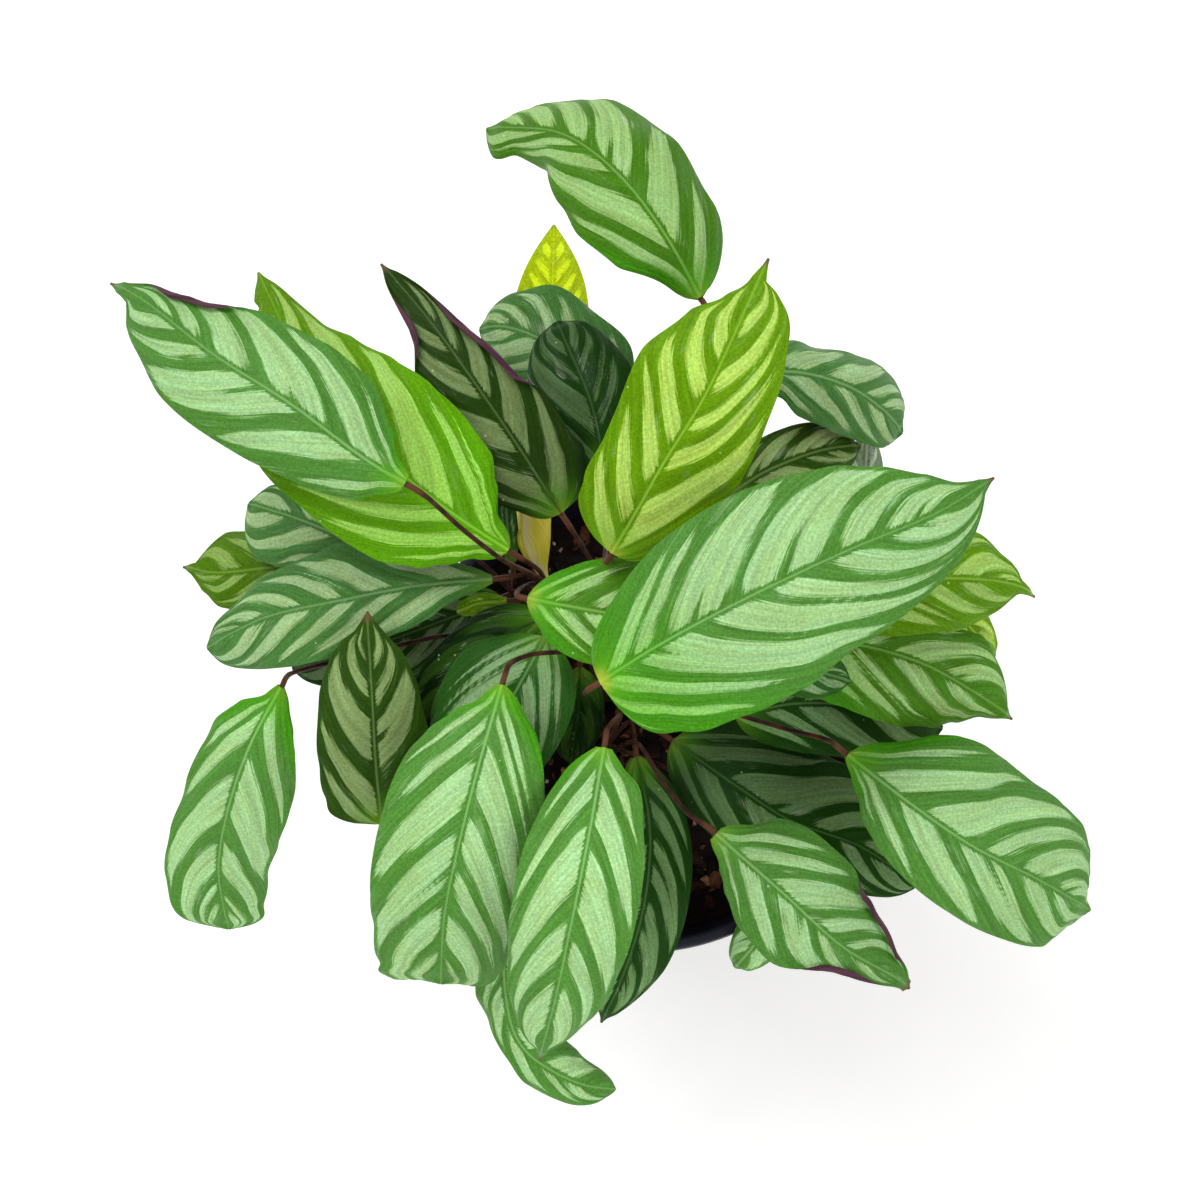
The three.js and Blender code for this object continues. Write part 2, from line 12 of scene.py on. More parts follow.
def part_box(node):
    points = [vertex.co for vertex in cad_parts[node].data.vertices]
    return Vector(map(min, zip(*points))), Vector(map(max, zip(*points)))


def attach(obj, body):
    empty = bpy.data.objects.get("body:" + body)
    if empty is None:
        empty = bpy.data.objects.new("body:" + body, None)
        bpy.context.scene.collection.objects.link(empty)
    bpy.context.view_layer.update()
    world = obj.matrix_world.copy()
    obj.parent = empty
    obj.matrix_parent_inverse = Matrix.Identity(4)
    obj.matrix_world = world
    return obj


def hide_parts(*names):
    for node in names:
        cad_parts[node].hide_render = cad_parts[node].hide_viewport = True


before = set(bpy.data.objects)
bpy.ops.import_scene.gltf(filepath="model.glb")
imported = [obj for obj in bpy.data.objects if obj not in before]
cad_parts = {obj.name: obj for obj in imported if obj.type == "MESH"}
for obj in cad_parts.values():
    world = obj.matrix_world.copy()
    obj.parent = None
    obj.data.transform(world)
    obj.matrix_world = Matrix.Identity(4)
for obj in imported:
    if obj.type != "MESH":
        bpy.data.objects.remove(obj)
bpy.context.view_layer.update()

# ---- The viewpoint -----------------------------------------------------------------------------
# The photograph looks down on the plant, 10 degrees off straight down, from 0.7 m above the pot's rim.
# Midribs are noted as the picture shows them, with a height in millimetres above the pot's foot.
MM = 0.001
PICTURE_SIDE = 1200
PICTURE_FOCAL = 2222  # in picture points
PICTURE_TILT = math.radians(10)
EYE_TO_RIM = 700
RIM_IN_PICTURE = (640, 712)  # where the rim's centre would show
SENSOR = 36
rim_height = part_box("pot")[1].z / MM

ahead = Vector((0, math.sin(PICTURE_TILT), -math.cos(PICTURE_TILT)))
upward = Vector((0, math.cos(PICTURE_TILT), math.sin(PICTURE_TILT)))


def sight_to(px, py):
    """The way from the eye through a point of the picture, 1 long in the direction straight ahead."""
    middle = PICTURE_SIDE / 2
    return Vector(((px - middle) / PICTURE_FOCAL, 0, 0)) + upward * ((middle - py) / PICTURE_FOCAL) + ahead


eye = Vector((0, 0, rim_height)) - sight_to(*RIM_IN_PICTURE) * EYE_TO_RIM


def from_picture(point):
    """The place, in mm, that shows at a point of the picture and has the height noted with it."""
    px, py, height = point
    sight = sight_to(px, py)
    return np.array(eye + sight * ((height - eye.z) / sight.z))


camera = bpy.data.objects.new("camera", bpy.data.cameras.new("camera"))
camera.data.sensor_width = SENSOR
camera.data.lens = PICTURE_FOCAL * SENSOR / PICTURE_SIDE
camera.data.clip_start = 0.02
camera.data.clip_end = 30
turn = Matrix((Vector((1, 0, 0)), upward, -ahead)).transposed()
camera.matrix_world = Matrix.Translation(eye * MM) @ turn.to_4x4()
bpy.context.scene.collection.objects.link(camera)
bpy.context.scene.camera = camera

# ---- Pot ---------------------------------------------------------------------------------------
# A 150 mm nursery pot: one injection-moulded polypropylene shell with a deep lip to lift it by, a plain
# tapering wall with two faint stiffening rings, and a flat floor with drainage holes.
pot_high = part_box("pot")[1] / MM
RIM_RADIUS = pot_high.x
POT_HEIGHT = pot_high.z
BASE_RADIUS = 53
WALL = 1.6
LIP_WIDTH = 2.5
LIP_DEPTH = 13
FLOOR = 2.2
HOLE_RADIUS = 5
HOLE_RING = 36
HOLES = 6
HOLE_SIDES = 24
RING_HEIGHTS = (24, 92)
RING_PROUD = 0.5
POT_SIDES = 128
POT_EDGES = 28  # degrees between faces that show as an edge


def wall_radius(height):
    """The wall's outer radius at a height above the foot."""
    return BASE_RADIUS + (RIM_RADIUS - LIP_WIDTH - BASE_RADIUS) * height / POT_HEIGHT


def linear(colour):
    """An sRGB hex colour as linear red, green, blue and 1."""
    shares = [int(colour[k : k + 2], 16) / 255 for k in (1, 3, 5)]
    return [c / 12.92 if c <= 0.04045 else ((c + 0.055) / 1.055) ** 2.4 for c in shares] + [1.0]


def node(material, kind, links=(), **settings):
    """Adds a node; links maps its sockets to values, to other nodes' first outputs or to sockets."""
    made = material.node_tree.nodes.new("ShaderNode" + kind)
    for name, value in settings.items():
        setattr(made, name, value)
    for socket, value in dict(links).items():
        if isinstance(value, bpy.types.Node):
            value = value.outputs[0]
        if isinstance(value, bpy.types.NodeSocket):
            material.node_tree.links.new(value, made.inputs[socket])
        else:
            made.inputs[socket].default_value = value
    return made


def new_material(name):
    """A material with no nodes yet."""
    material = bpy.data.materials.new(name)
    material.use_nodes = True
    material.node_tree.nodes.clear()
    return material


def piece(name, mesh, materials, replaces=()):
    """Puts a finished mesh on the plant, in the frame's own metres."""
    made = bpy.data.objects.new(name, mesh)
    bpy.context.scene.collection.objects.link(made)
    for material in materials:
        mesh.materials.append(material)
    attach(made, "root")
    if replaces:
        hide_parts(*replaces)


def mesh_from(shape, name):
    """Turns a shape under construction into a mesh."""
    mesh = bpy.data.meshes.new(name)
    shape.to_mesh(mesh)
    shape.free()
    return mesh


def smoothed(mesh, edges):
    """Shades a mesh smooth, except where its faces meet at more than so many degrees."""
    mesh.shade_smooth()
    mesh.set_sharp_from_angle(angle=math.radians(edges))
    return mesh


def circle_point(radius, k, count):
    """The k-th of count points round a circle."""
    angle = 2 * math.pi * k / count
    return radius * math.cos(angle), radius * math.sin(angle)


def lathe(name, profile, sides):
    """A closed solid of revolution from [radius, height] points in mm that start and end on the axis."""
    shape = bmesh.new()
    rings = []
    for radius, height in profile:
        if radius == 0:
            rings.append([shape.verts.new((0, 0, height * MM))])
            continue
        turns = [Matrix.Rotation(2 * math.pi * k / sides, 3, "Z") for k in range(sides)]
        rings.append([shape.verts.new(turn @ Vector((radius, 0, height)) * MM) for turn in turns])
    for low, high in zip(rings, rings[1:]):
        for k in range(sides):
            corners = [low[k % len(low)], low[(k + 1) % len(low)]]
            corners += [high[(k + 1) % len(high)], high[k % len(high)]]
            shape.faces.new(dict.fromkeys(corners))
    bmesh.ops.recalc_face_normals(shape, faces=shape.faces)
    return mesh_from(shape, name)


def pot_profile():
    """From the middle of the underside, out and up the wall, over the lip and down inside to the floor."""
    skirt = POT_HEIGHT - LIP_DEPTH
    outside = [(0, 0), (BASE_RADIUS - 1, 0), (BASE_RADIUS, 1)]
    for height in RING_HEIGHTS:
        for rise, proud in ((-2, 0), (-1, RING_PROUD), (1, RING_PROUD), (2, 0)):
            outside.append((wall_radius(height + rise) + proud, height + rise))
    lip = [
        (wall_radius(skirt), skirt),
        (RIM_RADIUS - 0.9, skirt),
        (RIM_RADIUS - 0.5, skirt + 0.5),
        (RIM_RADIUS, POT_HEIGHT - 1.2),
        (RIM_RADIUS - 0.4, POT_HEIGHT - 0.3),
        (RIM_RADIUS - 1.2, POT_HEIGHT),
        (RIM_RADIUS - 3, POT_HEIGHT),
        (RIM_RADIUS - 3.8, POT_HEIGHT - 0.5),
        (wall_radius(POT_HEIGHT - 3) - WALL, POT_HEIGHT - 3),
    ]
    return outside + lip + [(wall_radius(FLOOR) - WALL, FLOOR), (0, FLOOR)]


def drilled(mesh, cutters):
    """The mesh with each cutter's shape taken out of it."""
    body = bpy.data.objects.new("body", mesh)
    bpy.context.scene.collection.objects.link(body)
    for cutter in cutters:
        bpy.context.scene.collection.objects.link(cutter)
        cut = body.modifiers.new("hole", "BOOLEAN")
        cut.operation = "DIFFERENCE"
        cut.solver = "EXACT"
        cut.object = cutter
    result = bpy.data.meshes.new_from_object(body.evaluated_get(bpy.context.evaluated_depsgraph_get()))
    for used in [body, *cutters]:
        bpy.data.objects.remove(used)
    return result


drills = []
for k in range(HOLES):
    drill_profile = [(0, -FLOOR), (HOLE_RADIUS, -FLOOR), (HOLE_RADIUS, 3 * FLOOR), (0, 3 * FLOOR)]
    drill = lathe("drill", drill_profile, HOLE_SIDES)
    drill.transform(Matrix.Translation(Vector((*circle_point(HOLE_RING, k, HOLES), 0)) * MM))
    drills.append(bpy.data.objects.new("drill", drill))
pot_mesh = smoothed(drilled(lathe("pot_shell", pot_profile(), POT_SIDES), drills), POT_EDGES)

# Moulded polypropylene, coloured through: a dark navy that reads nearly black, with the mould's fine
# spark grain and a pale bloom of hard water and dust in faint streaks down the wall.
polypropylene = new_material("polypropylene_moulded")
place = node(polypropylene, "TexCoord").outputs["Object"]
grain = node(polypropylene, "TexNoise", {"Vector": place, "Scale": 1 / (0.9 * MM), "Detail": 3.0})
streaked = node(polypropylene, "Mapping", {"Vector": place, "Scale": (1, 1, 0.12)})
drips = node(polypropylene, "TexNoise", {"Vector": streaked, "Scale": 1 / (9 * MM), "Detail": 6.0})
dusty = node(polypropylene, "MapRange", {"Value": drips, 1: 0.5, 2: 0.78, 3: 0.0, 4: 0.3})
cloudy = node(polypropylene, "TexNoise", {"Vector": place, "Scale": 1 / (40 * MM), "Detail": 4.0})
dust = node(polypropylene, "Math", {0: dusty, 1: cloudy}, operation="MULTIPLY")
navy, bloom = linear("#1A1D30"), linear("#6C6A66")
plastic_colour = node(polypropylene, "Mix", {0: dust, 6: navy, 7: bloom}, data_type="RGBA").outputs[2]
plastic_rough = node(polypropylene, "MapRange", {"Value": cloudy, 1: 0.3, 2: 0.7, 3: 0.36, 4: 0.5})
plastic_bump = node(polypropylene, "Bump", {"Strength": 0.35, "Distance": 0.06 * MM, "Height": grain})
plastic_skin = {"Base Color": plastic_colour, "Roughness": plastic_rough, "Normal": plastic_bump}
plastic = node(polypropylene, "BsdfPrincipled", {**plastic_skin, "Specular IOR Level": 0.35})
node(polypropylene, "OutputMaterial", {"Surface": plastic})
piece("nursery_pot", pot_mesh, [polypropylene], ["pot"])

# ---- Potting mix -------------------------------------------------------------------------------
# Composted bark with a little coir, watered flat 16 mm under the rim: dark chips, some torn to their
# red-brown or tan inside, with white grains of perlite. The body under the top layer is one mass.
mix_low, mix_high = (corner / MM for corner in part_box("soil"))
MIX_TOP = mix_high.z
MIX_RADIUS = mix_high.x
MIX_RINGS = 34
MIX_SECTORS = 96
MIX_LUMPS = 1.6  # how far the surface rises and falls
BARK_CHIPS = 520
CRUMBS = 900
PERLITE_GRAINS = 46
CHIP_SIZES = ((5, 13), (3, 7), (1.5, 4))  # long, wide and thick, from and to
CRUMB_SIZES = ((1.5, 4), (1, 3), (0.8, 2))
GRAIN_SIZES = ((1, 2.4), (0.9, 2), (0.9, 1.8))
MIX_CLEARANCE = 0.3  # to the pot's wall, at the foot
MIX_EDGES = 50
BODY_TINT = 0.22  # of the mass under the chips
chance = random.Random(7)


def mix_height(x, y):
    """The surface's height over a point, kept level where it meets the pot."""
    edge = 1 - min(1, math.hypot(x, y) / MIX_RADIUS) ** 8
    lumps = noise.fractal(Vector((x, y, 3)) / 9, 0.8, 2.1, 4)
    return MIX_TOP + edge * MIX_LUMPS * lumps


def mix_body():
    """The mass of the mix, from its lumpy surface down to where it narrows with the pot."""
    shape = bmesh.new()
    middle = shape.verts.new((0, 0, mix_height(0, 0) * MM))
    rings = []
    for ring in range(1, MIX_RINGS + 1):
        radius = MIX_RADIUS * ring / MIX_RINGS
        places = [circle_point(radius, k, MIX_SECTORS) for k in range(MIX_SECTORS)]
        rings.append([shape.verts.new((x * MM, y * MM, mix_height(x, y) * MM)) for x, y in places])
    foot_radius = wall_radius(mix_low.z) - WALL - MIX_CLEARANCE
    places = [circle_point(foot_radius, k, MIX_SECTORS) for k in range(MIX_SECTORS)]
    rings.append([shape.verts.new((x * MM, y * MM, mix_low.z * MM)) for x, y in places])
    for k in range(MIX_SECTORS):
        after = (k + 1) % MIX_SECTORS
        shape.faces.new((middle, rings[0][k], rings[0][after]))
        for inner, outer in zip(rings, rings[1:]):
            shape.faces.new((inner[k], outer[k], outer[after], inner[after]))
    shape.faces.new(reversed(rings[-1]))
    return smoothed(mesh_from(shape, "potting_mix"), MIX_EDGES)


def scattered(name, count, sizes, corners, sink):
    """Angular bits lying on the mix, each a small hull of a few corners with a tint of its own."""
    shape = bmesh.new()
    tint_layer = shape.verts.layers.float.new("tint")
    for _ in range(count):
        angle, radius = chance.uniform(0, 2 * math.pi), (MIX_RADIUS - 4) * math.sqrt(chance.random())
        x, y = radius * math.cos(angle), radius * math.sin(angle)
        long, wide, thick = (chance.uniform(*size) for size in sizes)
        lie = Matrix.Rotation(chance.uniform(0, 2 * math.pi), 3, "Z")
        lie = lie @ Matrix.Rotation(chance.gauss(0, 0.35), 3, "X")
        lie = lie @ Matrix.Rotation(chance.gauss(0, 0.3), 3, "Y")
        centre = Vector((x, y, mix_height(x, y) + thick * (0.5 - sink)))
        tint = chance.random()
        bits = []
        for _ in range(corners):
            out = Vector((chance.gauss(0, 1), chance.gauss(0, 1), chance.gauss(0, 1))).normalized()
            out = Vector((out.x * long / 2, out.y * wide / 2, out.z * thick / 2))
            vertex = shape.verts.new((centre + lie @ out) * MM)
            vertex[tint_layer] = tint
            bits.append(vertex)
        hull = bmesh.ops.convex_hull(shape, input=bits)
        inner = set(hull["geom_interior"] + hull["geom_unused"])
        loose = [part for part in inner if isinstance(part, bmesh.types.BMVert)]
        bmesh.ops.delete(shape, geom=loose, context="VERTS")
    bmesh.ops.recalc_face_normals(shape, faces=shape.faces)
    return mesh_from(shape, name)


# Composted bark is dull and soaks up light; a chip's tint runs from wet black-brown to torn tan.
bark = new_material("composted_bark")
place = node(bark, "TexCoord").outputs["Object"]
tint = node(bark, "Attribute", attribute_name="tint")
fibre = node(bark, "TexNoise", {"Vector": place, "Scale": 1 / (1.4 * MM), "Detail": 5.0})
shade = node(bark, "Math", {0: fibre, 1: 0.5}, operation="SUBTRACT")
shade = node(bark, "Math", {0: shade, 1: 0.35}, operation="MULTIPLY")
shade = node(bark, "Math", {0: shade, 1: tint.outputs["Fac"]}, operation="ADD")
bark_colour = node(bark, "ValToRGB", {"Fac": shade})
bark_tints = ((0.0, "#100C0B"), (0.46, "#281A14"), (0.66, "#52301F"), (0.83, "#8C5C3E"), (1.0, "#CCA370"))
for k, (share, colour) in enumerate(bark_tints):
    stops = bark_colour.color_ramp.elements
    stop = stops[k] if k < 2 else stops.new(share)
    stop.position = share
    stop.color = linear(colour)
bark_bump = node(bark, "Bump", {"Strength": 0.7, "Distance": 0.4 * MM, "Height": fibre})
bark_skin = {"Base Color": bark_colour, "Roughness": 0.82, "Normal": bark_bump, "Specular IOR Level": 0.25}
bark_surface = node(bark, "BsdfPrincipled", bark_skin)
node(bark, "OutputMaterial", {"Surface": bark_surface})

# Perlite is puffed volcanic glass: dead white, matt and pitted, a little stained by the bark.
perlite = new_material("perlite")
place = node(perlite, "TexCoord").outputs["Object"]
pits = node(perlite, "TexVoronoi", {"Vector": place, "Scale": 1 / (0.7 * MM)})
stain = node(perlite, "TexNoise", {"Vector": place, "Scale": 1 / (5 * MM)})
stain_share = node(perlite, "MapRange", {"Value": stain, 1: 0.45, 2: 0.7, 3: 0.0, 4: 0.6})
clean, stained = linear("#E9E6DC"), linear("#A8927A")
perlite_colour = node(perlite, "Mix", {0: stain_share, 6: clean, 7: stained}, data_type="RGBA").outputs[2]
perlite_bump = node(perlite, "Bump", {"Strength": 0.5, "Distance": 0.25 * MM, "Height": pits})
perlite_skin = {"Base Color": perlite_colour, "Roughness": 0.75, "Normal": perlite_bump}
perlite_surface = node(perlite, "BsdfPrincipled", perlite_skin)
node(perlite, "OutputMaterial", {"Surface": perlite_surface})

body_mesh = mix_body()
body_tint = body_mesh.attributes.new("tint", "FLOAT", "POINT")
body_tint.data.foreach_set("value", [BODY_TINT] * len(body_mesh.vertices))
piece("potting_mix", body_mesh, [bark], ["soil"])
chips = scattered("bark_chips", BARK_CHIPS, CHIP_SIZES, corners=12, sink=0.3)
piece("bark_chips", chips, [bark])
crumbs = scattered("bark_crumbs", CRUMBS, CRUMB_SIZES, corners=8, sink=0.2)
piece("bark_crumbs", crumbs, [bark])
grains = scattered("perlite_grains", PERLITE_GRAINS, GRAIN_SIZES, corners=16, sink=0.1)
piece("perlite_grains", grains, [perlite])

# ---- Blades ------------------------------------------------------------------------------------
# Each leaf is one thin, waxy blade, arched along its midrib and pleated along its side veins. Dark
# bars follow the veins over a silver-green ground, the underside is wine-purple, and the blade ends
# in a short drip tip. It grows on its stalk by a joint that tilts it to the light.
ROW_STEP = 0.85  # between rows of points along a blade
BLADE_THICKNESS = 0.45
BASE_HALF = 1.3  # half the width where the stalk meets the blade
TIP_HALF = 0.35
TAIL_HALF = 2  # half the drip tip's width where the lobe ends
BASE_ROUND = 2.3  # how round the shoulders are, as powers of the share of length
TIP_ROUND = 2.4
COLUMNS = (0, 0.02, 0.045, 0.08, 0.125, 0.18, 0.24, 0.3, 0.36, 0.42, 0.48, 0.54, 0.6, 0.66, 0.71, 0.76, 0.8)
MARGIN_COLUMNS = (0.84, 0.875, 0.905, 0.93, 0.955, 0.975, 0.99, 1)
SLANT = 1.2  # how far forward a vein runs on its way to the margin, in half widths, straight on
SWEEP = (1.2, 1.2)  # and curving, left and right
GAP_WIDTHS = (9, 18)  # the light ground between bars, at mid leaf
BAR_WIDTHS = (5, 8)
FAR = 9  # distances to bars are kept up to here
PLEATS = ((5.2, 0.14), (13, 0.28))  # how far apart side veins pleat the blade and how high
CREASE = (1.1, 2.4)  # how deep and how wide the blade folds along its midrib
MIDRIB_LINE = (0.3, 0.5)  # how high and how wide the fine line in the crease is
RIPPLES = (20, 34)  # how far apart the margin's waves are, from and to
RIPPLE_HEIGHT = 0.8
SWELLS = (44, 70)  # and the blade's longer ones
SWELL_HEIGHT = 0.9
TIP_DROOP = 1.5
UNDER_RIB = (1.1, 0.8, 0.9)  # how proud the midrib is below, how much less at the tip, and how wide
BLADE_EDGES = 75
MAP_EDGE = 0.02  # left free round the top's and the underside's halves of the map
ROLL_RADIUS = 1.4
ROLL_TURN = 3.5  # radians that a dry margin rolls up

